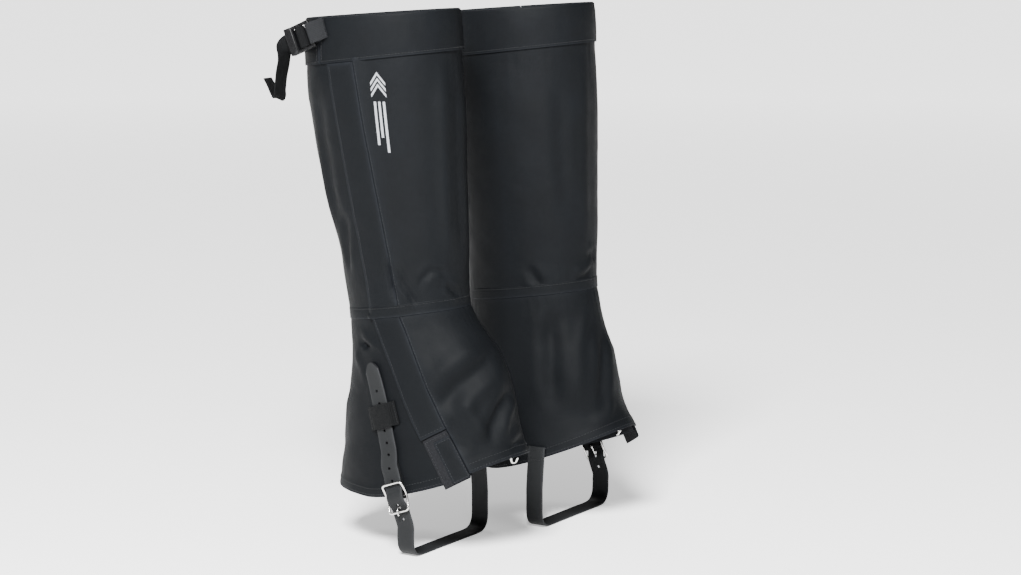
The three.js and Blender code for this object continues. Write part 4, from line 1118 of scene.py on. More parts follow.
def add_collar(g):
    add_collar_band(g, "collar_front", MEDIAL_SEAM + 0.12, COLLAR_END - 0.25, 130)
    add_collar_band(g, "collar_back", COLLAR_END + 0.25, MEDIAL_SEAM + 360 - 0.12, 48)
    for part, first, last in (("front", MEDIAL_SEAM + 1, COLLAR_END - 1),
                              ("back", COLLAR_END + 1, MEDIAL_SEAM + 359)):
        turn = np.linspace(first, last, 300)
        height = collar_low(turn) + COLLAR_ROW
        add_stitches(g, f"collar_stitches_{part}", sleeve(g, turn, height, 1.72),
                     sleeve(g, turn, height, 2.7))
    for k, at in enumerate((COLLAR_END - 3.0, COLLAR_END + 3.0)):
        height = np.linspace(float(collar_low(at)) + 3, float(collar_top(at)) - 4, 40)
        add_stitches(g, f"collar_end_stitches_{k}", sleeve(g, at, height, 2.5), sleeve(g, at, height, 3.5))


# ---------------------------------------------------------------- closure pieces

def square_end(z_line):
    """Height, over a piece's width, of an end that is square to the closure line at z_line."""
    slope = float(line_slope(z_line))
    return lambda g, across: z_line - slope * across / (1 + slope * slope)


def level_end(level, start, by):
    """Height, over a piece's width, of an end that follows a level round the sleeve."""
    def end(g, across):
        height = np.full(np.shape(across), start)
        for _ in range(6):
            height = level(angle_at(g, line_y(height) + across, height)) + by
        return height
    return end


def seam_end(by):
    return level_end(mid_seam, SEAM_MIDDLE, by)


def collar_end(by):
    return level_end(collar_low, 476.0, by)


def strip_place(g, u, v, first, last, top, bottom):
    """Angle and height of samples between two distances from the closure line and two ends."""
    across = lerp(first, last, u)
    height = lerp(top(g, across), bottom(g, across), v)
    return angle_at(g, line_y(height) + across, height), height


def add_strip(g, name, first, last, top, bottom, length, level, thickness, material, slot,
              body=ROOT, blend=None, sheet=False, wave=0.0):
    """A patch of the closure, with rounded edges, lying over the worn sleeve."""
    width, edge = last - first, 0.4
    u = spread(max(int(width / 2.2), 4), edge, width)
    v = spread(int(length / 2.8), edge, length)
    uu, vv = np.meshgrid(u, v, indexing="ij")
    angle, height = strip_place(g, uu, vv, first, last, top, bottom)
    share, wear = roundness(u[:, None], v[None], width, length, edge)
    middle, half = level + thickness / 2, thickness / 2
    phase = vv * length / 11 + 3 * value_noise(vv * length, uu, 40, 31)
    ripple = wave * np.sin(phase) * smoothstep(uu, 0.5, 1)
    outer = surface(g, angle, height, middle + half * share + ripple)
    inner = surface(g, angle, height, middle - half * share + ripple)
    uv = np.stack([uu * width + 200, height], -1)
    obj = slab_object(g, name, outer, inner, uv, wear)
    finish_piece(obj, material, body, slot, (name,), blend)
    if sheet:
        flat = (width * MM, length_of(outer[outer.shape[0] // 2]) * MM)


def strip_stitches(g, name, points, top, bottom, level, body=ROOT, blend=None, samples=120):
    """A row of stitches through (distance from the closure line, share of the length) corners."""
    course = np.array(points, float)
    run = np.linspace(0, len(course) - 1, samples * (len(course) - 1))
    across = np.interp(run, np.arange(len(course)), course[:, 0])
    v = np.interp(run, np.arange(len(course)), course[:, 1])
    height = lerp(top(g, across), bottom(g, across), v)
    angle = angle_at(g, line_y(height) + across, height)
    add_stitches(g, name, surface(g, angle, height, level), surface(g, angle, height, level + 1), body, blend)


def hinge_point(g, height):
    return place(g, sleeve(g, closure_angle(g, height), height, FLAP_OUT))


def add_closure(g):
    parts = ("upper_flap", "lower_flap", "hem_tab")
    upper_body, lower_body, tab_body = (f"{g.side}_{part}" for part in parts)
    upper_blend = (ROOT, upper_body, hinge_point(g, 242.0), hinge_point(g, 322.0))
    lower_blend = (ROOT, lower_body, hinge_point(g, 222.0), hinge_point(g, 168.0))
    inset, free_edge = 2.5, FLAP_WIDTH - 2.6
    spans = {
        "upper": (collar_end(-0.6), seam_end(0.4), 236, upper_blend, "fabric"),
        "lower": (seam_end(-0.4), square_end(PATCH_TOP + 1), 112, lower_blend, "lower"),
    }
    for part, (top, bottom, length, blend, cloth) in spans.items():
        short_top = collar_end(-4) if part == "upper" else seam_end(-5)
        short_bottom = seam_end(6) if part == "upper" else square_end(PATCH_TOP + 3.5)
        tape = (inset, FLAP_WIDTH - inset, short_top, short_bottom, length - 8)
        add_strip(g, f"{part}_loop_tape", *tape, LOOP_OUT, 0.45, "loop", "loop_tape")
        add_strip(g, f"{part}_hook_tape", *tape, HOOK_OUT, 0.5, "hook", "hook_tape", blend=blend)
        add_strip(g, f"{part}_flap", 0.0, FLAP_WIDTH, top, bottom, length, FLAP_OUT, LIGHT_FABRIC, cloth,
                  "shell_fabric", blend=blend, sheet=True, wave=0.16)
        strip_stitches(g, f"{part}_flap_stitches", [(free_edge, 0.01), (free_edge, 0.985)], top, bottom,
                       FLAP_FACE - 0.05, blend=blend)
        strip_stitches(g, f"{part}_line_stitches", [(-1.8, 0.005), (-1.8, 0.99)], top, bottom,
                       FLAP_FACE - 0.1)
    end = [(2.0, 0.975), (free_edge, 0.975)]
    strip_stitches(g, "lower_flap_end_stitches", end, spans["lower"][0], spans["lower"][1], FLAP_FACE - 0.05,
                   blend=lower_blend)
    patch_top, patch_low = square_end(PATCH_TOP), square_end(TAB_LOW - 1)
    add_strip(g, "hem_loop_patch", 1.0, FLAP_WIDTH - 1, patch_top, patch_low, 44, LOOP_OUT, 0.7,
              "loop", "loop_tape")
    box = [(2.6, 0.05), (FLAP_WIDTH - 3.2, 0.05), (FLAP_WIDTH - 3.2, 0.95), (2.6, 0.95)]
    strip_stitches(g, "hem_patch_stitches", box, patch_top, patch_low, LOOP_OUT + 0.72)
    tab_top, tab_low = square_end(TAB_TOP), square_end(TAB_LOW)
    add_strip(g, "hem_tab", 1.0, 0.62 * FLAP_WIDTH, tab_top, tab_low, 40, LOOP_OUT + 0.95, 1.0, "lower",
              "shell_fabric", body=tab_body, sheet=True)
    level = LOOP_OUT + 0.95 + 0.97
    outer_box = [(1.6, 0.05), (17.4, 0.05), (17.4, 0.96), (1.6, 0.96), (1.6, 0.05)]
    strip_stitches(g, "hem_tab_stitches", outer_box, tab_top, tab_low, level, body=tab_body, samples=50)


# ---------------------------------------------------------------- generic mark

def add_mark(g):
    """A plain mountain mark: three nested chevrons over a few bars, printed ahead of the closure."""
    top, bottom = 467.0, 386.0
    top_y, bottom_y = 62.0, 54.5
    reach, drops, stroke = 7.0, (0.0, 5.5, 11.0), 3.0
    shapes = [[(-reach, 14 + drop), (0, 4 + drop), (reach, 14 + drop)] for drop in drops]
    bars = [(-4.2, 32, 80), (0.0, 32, 66), (4.2, 32, 73)]
    faces, points, uvs = [], [], []

    def patch(quad, nx, ny):
        base = len(points)
        (a, b, c, d) = (np.array(p, float) for p in quad)
        for i in range(nx + 1):
            for j in range(ny + 1):
                p = lerp(lerp(a, b, i / nx), lerp(d, c, i / nx), j / ny)
                points.append(p)
        for i in range(nx):
            for j in range(ny):
                q = base + i * (ny + 1) + j
                faces.append((q, q + ny + 1, q + ny + 2, q + 1))

    for (x0, d0), (x1, d1), (x2, d2) in shapes:
        patch([(x0, d0), (x1, d1), (x1, d1 + stroke), (x0, d0 + stroke)], 6, 2)
        patch([(x1, d1), (x2, d2), (x2, d2 + stroke), (x1, d1 + stroke)], 6, 2)
    for x, start, stop in bars:
        patch([(x - 1.1, start), (x + 1.1, start), (x + 1.1, stop), (x - 1.1, stop)], 2, 22)
    flat = np.array(points)
    height = top - flat[:, 1]
    y = lerp(top_y, bottom_y, flat[:, 1] / (top - bottom)) + flat[:, 0]
    angle = angle_at(g, y, height)
    rise = FLAP_FACE * closure_rise(g, angle, height)
    outer, inner = surface(g, angle, height, 0.16 + rise), surface(g, angle, height, -0.25 + rise)
    count = len(flat)
    edges = dict.fromkeys((a, b) for f in faces for a, b in zip(f, f[1:] + f[:1]))
    quads = list(faces) + [tuple(count + i for i in f[::-1]) for f in faces]
    quads += [(b, a, count + a, count + b) for (a, b) in edges if (b, a) not in edges]
    uv = np.concatenate([flat, flat])
    obj = make_object(g, "mark", np.concatenate([outer, inner]), quads, uv)
    finish_piece(obj, "print")


# ---------------------------------------------------------------- ladder lock and the collar strap

LOCK_BODY, LOCK_SLOTS = (28.4, 27, 3.4), ((1.5, 9.0), (12.6, 18.7))
LIP_BODY, LIP_TILT, LIP_AT = (7.6, 27, 1.9), -20, (23.6, 2.3)
LOCK_BAR = (-64, 132.4, 497.4)
LOCK_DROOP = 22.6
LOOP_R = 3.15
TAIL_HINGE, TAIL_LEVEL = 27.8, -2.8


def leaned(g, y, z):
    return y - g.forward - g.slope * (z - LEAN_FROM) - CENTRE_Y


class Frame:
    """A local frame: an origin and three unit directions, as rows."""

    def __init__(self, origin, x, y, z):
        self.origin, self.axes = np.array(origin, float), np.array([x, y, z], float)

    def at(self, points):
        return self.origin + np.asarray(points, float) @ self.axes

    def turn(self, vectors):
        return np.asarray(vectors, float) @ self.axes


def lock_frame(g):
    x, y, z = LOCK_BAR
    droop = math.radians(LOCK_DROOP)
    along, outward = np.array([0, math.cos(droop), -math.sin(droop)]), np.array([-1.0, 0, 0])
    return Frame((-LEG_X + x, leaned(g, y, z), z), along, np.cross(outward, along), outward)


def to_frame(g, obj, frame):
    """Moves an object that was built in a local frame to its place."""
    count = len(obj.data.vertices)
    local = np.zeros(count * 3)
    obj.data.vertices.foreach_get("co", local)
    world = frame.at(local.reshape(-1, 3) / MM) * MM
    if g.side == "left":
        world[:, 0] *= -1
        obj.data.vertices.foreach_set("co", world.ravel())
        obj.data.flip_normals()
    else:
        obj.data.vertices.foreach_set("co", world.ravel())
    obj.data.update()


def add_lock(g):
    """Ladder lock: two rails, three bars, a tilted thumb lip with ridges."""
    frame = lock_frame(g)
    body = rounded_box(g, "ladder_lock", LOCK_BODY, 1.1, (12.9, 0, 0), 4)
    slots = [rounded_box(g, f"slot_{k}", (to - start, 21.4, 9), 0.9, ((start + to) / 2, 0, 0), 3)
             for k, (start, to) in enumerate(LOCK_SLOTS)]
    boolean(body, slots, "DIFFERENCE")
    lip = rounded_box(g, "lip", LIP_BODY, 0.8, (0, 0, 0), 3)
    turn = math.radians(LIP_TILT)
    for vert in lip.data.vertices:
        x, y, z = vert.co / MM
        vert.co = Vector((x * math.cos(turn) + z * math.sin(turn) + LIP_AT[0], y,
                          -x * math.sin(turn) + z * math.cos(turn) + LIP_AT[1])) * MM
    extras = [lip]
    for k in range(4):
        ridge = rounded_box(g, f"ridge_{k}", (0.8, 20, 0.9), 0.35, (21.4 + 1.5 * k, 0, 2.35 + 0.55 * k), 2)
        extras.append(ridge)
    for k, x in enumerate((3.2, 10.8, 17.5)):
        for s in (-1, 1):
            extras.append(rounded_box(g, f"boss_{k}_{s}", (4.4, 2.4, 4.6), 0.8, (x, s * 12.2, 0), 2))
    boolean(body, extras, "UNION")
    to_frame(g, body, frame)
    shade(body, 38)
    finish_piece(body, "plastic", f"{g.side}_ladder_lock", "lock_plastic", ("ladder_lock",))


def add_lock_loop(g):
    """Webbing loop round the lock's fixed bar, its two legs stitched to the collar."""
    frame = lock_frame(g)
    diagonal = LOOP_R * math.sqrt(0.5)
    on_collar, tilt = -3.05, 0.12
    route = [(-16, on_collar + 1.55, tilt), (-12, on_collar + 1.55, tilt), (-8, -0.4, tilt), (-3.5, 2.3, 0),
             (0, LOOP_R, 0), (diagonal, diagonal, 0), (LOOP_R, 0, 0), (diagonal, -diagonal, 0),
             (0, -LOOP_R, 0),
             (-4, -3.3, tilt / 2), (-8.5, -3.2, tilt), (-12, on_collar, tilt), (-16, on_collar, tilt)]
    path, across = smooth_path(frame.at([(a, 0, o) for a, o, _ in route]),
                               [frame.turn([(0, 1, t) for _, _, t in route])], 7)
    obj = strap_object(g, "buckle_loop", path, across, WEBBING_WIDTH, WEBBING)
    finish_piece(obj, "loop_webbing", slot="webbing", stands_for=("buckle_loop",))
    for k, side in enumerate((-7.6, 7.6)):
        line = np.array([(-15.4, side, on_collar + 2.3 + 0.12 * side),
                         (-10.4, side, on_collar + 2.9 + 0.12 * side)])
        dense = lerp(line[0], line[1], np.linspace(0, 1, 12)[:, None])
        add_stitches(g, f"loop_stitches_{k}", frame.at(dense), frame.at(dense + [0, 0, 1]))


def add_collar_strap(g):
    """Strap from the collar's tunnel, out of its slot, under the lock and round its middle bar."""
    path, across = [], []

    def put(angle, out):
        height = float(collar_strap_height(angle))
        path.append(sleeve(g, angle, height, out))
        across.append(unit(sleeve(g, angle, height + 10, out) - sleeve(g, angle, height - 10, out)))

    for angle in np.arange(COLLAR_END - 4, SLOT_ANGLE - 360 + 14, -8):
        put(angle, -0.6)
    put(SLOT_ANGLE + 9 - 360, -0.4)
    put(SLOT_ANGLE + 4 - 360, 0.6)
    put(SLOT_ANGLE - 1 - 360, 2.6)
    put(SLOT_ANGLE - 7 - 360, 5.2)
    frame = lock_frame(g)
    slot_exit, exit_across = path[-1], across[-1]
    under = frame.at([(24, 0, -5.6)])[0]
    bar = frame.turn([(0, 1, 0)])[0] * -1
    for t in (0.22, 0.46, 0.72):
        sag = math.sin(math.pi * t)
        path.append(lerp(slot_exit, under, t) + np.array([-1.2 * sag, 2.6 * sag, -2.2 * sag]))
        across.append(unit(lerp(exit_across, bar, t)))
    wrap = [(22, -5.0), (17, -4.8), (12, -4.6), (8.4, -3.5), (6.4, -0.2), (7.6, 2.3), (10.8, 2.95), (14, 2.3),
            (15.6, 0), (17.4, -2.1), (20, TAIL_LEVEL), (23, TAIL_LEVEL), (TAIL_HINGE, TAIL_LEVEL)]
    for along, out in wrap:
        path.append(frame.at([(along, 0, out)])[0])
        across.append(bar)
    slot_place, lock_place = place(g, slot_exit), place(g, under)
    dense, sides = smooth_path(path, [across], 6)
    obj = strap_object(g, "collar_strap", dense, sides, WEBBING_WIDTH, WEBBING)
    blend = (ROOT, f"{g.side}_ladder_lock", slot_place, lock_place)
    finish_piece(obj, "webbing", slot="webbing", stands_for=("collar_strap", "lock_webbing"), blend=blend)


def add_tail(g):
    """The free end: it leaves along the lock, twists as it droops, and ends in a stitched fold."""
    frame = lock_frame(g)
    start = np.array([TAIL_HINGE - 0.2, 0, TAIL_LEVEL])
    leaving = np.array([(0, 0, 0), (3.8, 0.2, 0), (7.3, 1.8, 0.1), (10.8, 5.5, 0.4), (14.8, 13, 0.8)])
    local = frame.at(leaving + start)
    origin = frame.at([start])[0]
    hang = origin + np.array([(-1, 11.5, -31), (-1, 13.2, -43), (-0.8, 14.2, -50.5), (-0.9, 16.4, -53.4),
                              (-1.4, 18.4, -50.5), (-2.2, 22.4, -42), (-3.2, 26.9, -34)])
    along_bar = frame.turn([(0, 1, 0)])[0]
    edge_on = np.array([0.95, 0.1, -0.3])
    turns = [0, 0.12, 0.4, 0.75, 0.95, 1, 1, 1, 1, 1, 1, 1]
    across = [unit(lerp(along_bar, edge_on, t)) for t in turns]
    dense, sides = smooth_path(np.vstack([local, hang]), [across], 9)
    obj = strap_object(g, "strap_tail", dense, sides, WEBBING_WIDTH, WEBBING, round_ends=True)
    ends = (place(g, frame.at([(TAIL_HINGE + by, 0, TAIL_LEVEL)])[0]) for by in (-2, 4))
    blend = (f"{g.side}_ladder_lock", f"{g.side}_strap_tail", *ends)
    finish_piece(obj, "webbing", slot="webbing", stands_for=("strap_tail",), blend=blend)
    # bar tack across the folded end
    k = int(len(dense) * 0.79)
    side, _tangent, normal = strap_axes(dense, sides, k)
    for face in (-1, 1):
        off = normal * face * (WEBBING / 2 + 0.05)
        row = np.array([dense[k] + side * w + off for w in np.linspace(-8.5, 8.5, 24)])
        add_stitches(g, f"tail_stitches_{(face + 1) // 2}", row, row + normal * face,
                     body=f"{g.side}_strap_tail", pitch=FINE_PITCH)


# ---------------------------------------------------------------- instep strap and its buckle

BUCKLE_Y, BUCKLE_Z, BUCKLE_SLANT = 35.5, 57.5, 19.0
BAR_R, FRAME_HALF, FRAME_INNER = 1.2, 14.0, 20.6
MIDDLE_BAR, OUTER_BAR = 3.9, 7.3
WIRE_R, MIDDLE_R, PRONG_R, WIRE_GAP = 1.15, 1.05, 0.9, 0.3     # looks' wires, and the room round a bar
STRAP_LOW, STRAP_HUMP = 2.8, 4.4
PRONG_HOLE = -8.3
JOINT_DROP = -29.0
SOLE_BEND = 16.0
MEDIAL_STRAP_X = -LEG_X + 66
MEDIAL_TOP = 82.0
STRAP_ROUTE = [(46.5, 99, 2.6), (50.8, 112, 1.6), (56, 130, 0.9),             # y, height, lift off the sleeve
               (61.5, 147, 0.8), (67.5, 163, 0.8), (76, 182, 0.8)]
KEEPER = dict(y=57.0, z=133.0, half=17.5, height=23.0)
SIN, COS = math.sin(math.radians(BUCKLE_SLANT)), math.cos(math.radians(BUCKLE_SLANT))


def plain_side(g, y, z, out):
    """A point off the smooth sleeve, under the strap, where the cloth lies flat."""
    return sleeve(g, angle_at(g, y, z), z, out)


def buckle_place(g):
    shell = plain_side(g, BUCKLE_Y, BUCKLE_Z, 0.0)
    up, outward = np.array([0, SIN, COS]), np.array([-1.0, 0, 0])
    return Frame((shell[0], leaned(g, BUCKLE_Y, BUCKLE_Z), BUCKLE_Z), np.cross(up, outward), up, outward)


def above_buckle(g, along, out):
    return plain_side(g, BUCKLE_Y + along * SIN, BUCKLE_Z + along * COS, out)


def strap_underside(along):
    if abs(along) >= FRAME_HALF:
        return STRAP_LOW
    return STRAP_LOW + STRAP_HUMP * math.cos(math.pi * along / (2 * FRAME_HALF)) ** 2


def quadratic(a, b, c, t):
    return (1 - t) ** 2 * a + 2 * t * (1 - t) * b + t * t * c


def sole_route(g):
    """The loop under the foot, from the lateral swing joint round to the medial one."""
    x, y, z = buckle_place(g).at([(0, JOINT_DROP, STRAP_LOW + STRAP / 2)])[0]
    floor, far, bend = STRAP / 2, MEDIAL_STRAP_X, SOLE_BEND
    at = lambda px, pz: np.array([px, y, pz])
    quarters = (0.25, 0.5, 0.75, 1)
    first_bend = (at(x, floor + bend), at(x, floor), at(x + bend, floor))
    second_bend = (at(far - bend, floor), at(far, floor), at(far, floor + bend))
    route = [at(x, lerp(z, floor + bend, t)) for t in (0, 0.5, 1)]
    route += [quadratic(*first_bend, t) for t in quarters]
    route += [at(lerp(x + bend, far - bend, t), floor) for t in quarters]
    route += [quadratic(*second_bend, t) for t in quarters]
    route += [at(far, lerp(floor + bend, z, t)) for t in (0.5, 1)]
    return route


HOLE_SIZE, LAST_HOLE_SIZE, PRONG_SLOT = (3.0, 3.1), (3.0, 3.0), (7.2, 3.4)    # length and width
TIP_CLEAR = 22.0                                                              # no hole nearer the tip


def strap_axes(dense, sides, i):
    """Side, tangent and normal of a strap at one point of its dense path."""
    tangent = unit(dense[i + 1] - dense[i - 1])
    side = unit(sides[i] - tangent * (sides[i] @ tangent))
    return side, tangent, np.cross(side, tangent)


def add_instep_strap(g):
    """One moulded strap: from its tip down through the keeper and buckle, under the foot, to its sewn end."""
    frame = buckle_place(g)
    path, across = [], []
    forward = frame.turn([(1, 0, 0)])[0]
    for i, (y, z, lift) in reversed(list(enumerate(STRAP_ROUTE))):
        slant = math.radians(lerp(BUCKLE_SLANT, 24, i / (len(STRAP_ROUTE) - 1)))
        reach = lambda far: plain_side(g, y - far * math.cos(slant), z + far * math.sin(slant), lift)
        path.append(plain_side(g, y, z, lift + STRAP / 2))
        across.append(unit(reach(9.5) - reach(-9.5)))
    for along in (31, 22):
        path.append(above_buckle(g, along, STRAP_LOW + STRAP / 2))
        across.append(forward)
    for along in (15, 11.5, 8, 4, 0, -4, -8, -11.5, -15, -19):
        path.append(frame.at([(0, along, strap_underside(along) + STRAP / 2)])[0])
        across.append(forward)
    loop = sole_route(g)
    toward = np.array([0, -1.0, 0])
    for k, point in enumerate(loop):
        path.append(point)
        across.append(unit(lerp(forward, toward, 0.6)) if k == 0 else toward)
    joint = loop[0]
    low = joint[2]
    for px, pz in ((MEDIAL_STRAP_X, low + 10), (MEDIAL_STRAP_X - 1, low + 22),
                   (MEDIAL_STRAP_X - 2.8, low + 38), (MEDIAL_STRAP_X - 4.4, MEDIAL_TOP)):
        path.append(np.array([px, joint[1], pz]))
        across.append(toward)
    dense, sides = smooth_path(path, [across], 7)
    tip = 10.0

    def slide(u, v, total):
        at_tip = np.clip(1 - u / 26, 0, 1)
        return tip * v * v * at_tip * 0.9

    obj = strap_object(g, "instep_strap", dense, sides, STRAP_WIDTH, STRAP, 11, slide)
    run = run_along(dense)
    prong_at = frame.at([(0, PRONG_HOLE, strap_underside(PRONG_HOLE) + STRAP / 2)])[0]
    prong_run = run[np.argmin(np.linalg.norm(dense - prong_at, axis=1))]
    cutters = []
    for k in (0, *range(2, 11), -1):             # 0 takes the prong, and 1 would be hidden inside the buckle
        where = prong_run - HOLE_PITCH * k
        if where < TIP_CLEAR:
            continue
        i = int(np.argmin(np.abs(run - where)))
        size = PRONG_SLOT if k == 0 else HOLE_SIZE if k > 0 else LAST_HOLE_SIZE
        cutters.append(hole_cutter(g, dense[i], *strap_axes(dense, sides, i), *size))
    boolean(obj, [join(cutters, "cutters")], "DIFFERENCE")
    shade(obj, 50)
    ends = (place(g, (joint[0], joint[1], low + by)) for by in (13, -11))
    finish_piece(obj, "rubber", slot="strap_rubber",
                 stands_for=("instep_strap", "sole_strap", "sole_strap_end"),
                 blend=(ROOT, f"{g.side}_sole_strap", *ends))
    box = np.array([(-6.5, MEDIAL_TOP - 3), (6.5, MEDIAL_TOP - 3), (6.5, MEDIAL_TOP - 13),
                    (-6.5, MEDIAL_TOP - 13), (-6.5, MEDIAL_TOP - 3)], float)
    stops = np.linspace(0, 4, 80)
    dy, dz = np.interp(stops, np.arange(5), box[:, 0]), np.interp(stops, np.arange(5), box[:, 1])
    x = np.interp(dz, [low + 38, MEDIAL_TOP], [MEDIAL_STRAP_X - 2.8, MEDIAL_STRAP_X - 4.4]) + STRAP / 2 + 0.08
    row = np.stack([x, joint[1] + dy, dz], -1)
    add_stitches(g, "strap_end_stitches", row, row + [1, 0, 0])


def hole_cutter(g, centre, side, tangent, normal, length, width):
    """An upright slot-shaped or round pin through the strap."""
    sides, reach = 20, 4
    turn = 2 * np.pi * np.arange(sides) / sides
    ring = (side * (width / 2) * np.cos(turn)[:, None] + tangent * (length / 2) * np.sin(turn)[:, None])
    points = np.vstack([centre + ring - normal * reach, centre + ring + normal * reach])
    quads = [(k, (k + 1) % sides, sides + (k + 1) % sides, sides + k) for k in range(sides)]
    caps = (tuple(range(sides))[::-1], tuple(sides + k for k in range(sides)))
    return make_object(g, "cutter", points, quads, np.zeros((2 * sides, 2)), np.ones(2 * sides), 50, caps)


def keeper_place(a, along):
    """y and height of a place on the keeper, across and along the strap."""
    return KEEPER["y"] - a * COS + along * SIN, KEEPER["z"] + a * SIN + along * COS


def add_keeper(g):
    """Webbing keeper, sewn down at both ends and arched over the strap."""
    half, height = KEEPER["half"], KEEPER["height"]
    rising = [(-half, 1.1), (-half + 2, 1.25), (-14.6, 1.3), (-13.2, 1.5), (-12.0, 2.7), (-11.0, 4.3),
              (-9.6, 5.0), (-6, 5.2)]                                         # across, out; the arch is even
    stops = np.array(rising + [(0, 5.3)] + [(-a, out) for a, out in rising[::-1]])
    v = spread(9, 0.6, height)
    run = np.linspace(0, len(stops) - 1, 65)
    across, top = (np.interp(run, np.arange(len(stops)), stops[:, k]) for k in (0, 1))
    kernel = np.array([0.25, 0.5, 0.25])
    for _ in range(3):
        across[1:-1], top[1:-1] = (np.convolve(w, kernel, "valid") for w in (across, top))
    slope_a, slope_t = np.gradient(across), np.gradient(top)
    size = np.hypot(slope_a, slope_t)
    faces = []
    away = np.minimum(v, 1 - v) * height
    share = np.maximum(np.sqrt(1 - np.clip(1 - away / 0.6, 0, 1) ** 2), 0.25)
    for sign in (1, -1):
        h = sign * WEBBING / 2 * share[None]
        a = across[:, None] - h * (slope_t / size)[:, None]
        t = top[:, None] + h * (slope_a / size)[:, None]
        along = (v[None] - 0.5) * height
        y, z = keeper_place(a, along)
        faces.append(plain_side(g, y, z, t))
    uv = np.stack([np.broadcast_to(v[None] * height, faces[0].shape[:2]),
                   np.broadcast_to(across[:, None], faces[0].shape[:2])], -1)
    wear = np.broadcast_to(np.exp(-away / 1.4)[None], faces[0].shape[:2])
    obj = slab_object(g, "keeper", faces[0], faces[1], uv, wear)
    finish_piece(obj, "webbing", slot="webbing", stands_for=("keeper",))
    for k, a in enumerate((-15.8, 15.8)):
        along = np.linspace(-height / 2 + 1.5, height / 2 - 1.5, 30)
        y, z = keeper_place(a, along)
        add_stitches(g, f"keeper_stitches_{k}", plain_side(g, y, z, 2.05), plain_side(g, y, z, 3.0),
                     pitch=FINE_PITCH)


TAB_WIDTH = 18.6


def add_buckle_tab(g):
    """Webbing folded round the buckle's middle bar and sewn up the shell."""
    frame = buckle_place(g)
    turn = BAR_R + WIRE_GAP + WEBBING / 2
    flat = 0.35 + WEBBING / 2
    path = [above_buckle(g, along, flat) for along in (42, 34, 26, 18)]
    eye = [(9, flat), (4.5, MIDDLE_BAR - turn + 0.1), (0, MIDDLE_BAR - turn),
           (-1.4, MIDDLE_BAR - turn * 0.78), (-turn, MIDDLE_BAR), (-1.4, MIDDLE_BAR + turn * 0.78),
           (0, MIDDLE_BAR + turn), (2, MIDDLE_BAR + turn * 0.9), (4.6, MIDDLE_BAR + turn * 0.35)]
    path += [frame.at([(0, along, out)])[0] for along, out in eye]
    across = [frame.turn([(1, 0, 0)])[0]] * len(path)
    dense, sides = smooth_path(path, [across], 7)
    obj = strap_object(g, "buckle_tab", dense, sides, TAB_WIDTH, WEBBING)
    tool = rounded_box(g, "prong_slot", (4.0, 9.4, 12), 1.0, (0, -0.6, MIDDLE_BAR), 3)
    to_frame(g, tool, frame)
    boolean(obj, [tool], "DIFFERENCE")
    shade(obj, 50)
    finish_piece(obj, "webbing", slot="webbing", stands_for=("buckle_tab",))


def add_buckle(g):
    """Cambered wire frame with its middle bar, and the prong hooked round it."""
    frame = buckle_place(g)
    reach, corner = FRAME_INNER / 2 + BAR_R, 3.4
    outline = []

    def arc(x, y, start):
        for k in range(7):
            angle = math.radians(start + 15 * k)
            outline.append((x + corner * math.cos(angle), y + corner * math.sin(angle)))

    arc(reach - corner, FRAME_HALF - corner, 0)
    arc(corner - reach, FRAME_HALF - corner, 90)
    outline += [(-reach, y) for y in (8, 5.5, 2.7, 0, -2.7, -5.5, -8)]
    arc(corner - reach, corner - FRAME_HALF, 180)
    arc(reach - corner, corner - FRAME_HALF, 270)
    outline += [(reach, y) for y in (-8, -5.5, -2.7, 0, 2.7, 5.5, 8)]
    camber = lambda y: lerp(MIDDLE_BAR, OUTER_BAR, min(1, (abs(y) / (FRAME_HALF - 1)) ** 1.5))
    centre = frame.at([(x, y, camber(y)) for x, y in outline])
    body = tube_object(g, "buckle_frame", centre, WIRE_R, 14, closed=True)
    middle = frame.at([(x, 0, MIDDLE_BAR) for x in np.linspace(-reach, reach, 14)])
    bar = tube_object(g, "middle_bar", middle, MIDDLE_R, 14)
    boolean(body, [bar], "UNION")
    shade(body, 40)
    finish_piece(body, "nickel", f"{g.side}_instep_buckle", "buckle_metal", ("buckle_frame",))
    eye = BAR_R + WIRE_GAP + PRONG_R
    rest = OUTER_BAR + BAR_R + WIRE_GAP + PRONG_R
    hook = [(eye * math.cos(math.radians(a)), MIDDLE_BAR + eye * math.sin(math.radians(a)))
            for a in (60, 30, 0, -30, -60, -90, -120, -150)]
    shank = [(-4.6, 3.1), (-6.2, 3.3), (-7.8, 4.2), (-9, 5.8), (-10.4, 7.8), (-12.2, rest - 0.35),
             (-14, rest - 0.05), (-16.6, rest - 0.25)]
    dense, = smooth_path([(0, a, o) for a, o in hook + shank], (), 5)
    prong = tube_object(g, "buckle_prong", frame.at(dense), PRONG_R, 12)
    finish_piece(prong, "nickel", f"{g.side}_buckle_prong", "buckle_metal", ("buckle_prong",))


# ---------------------------------------------------------------- lace hook

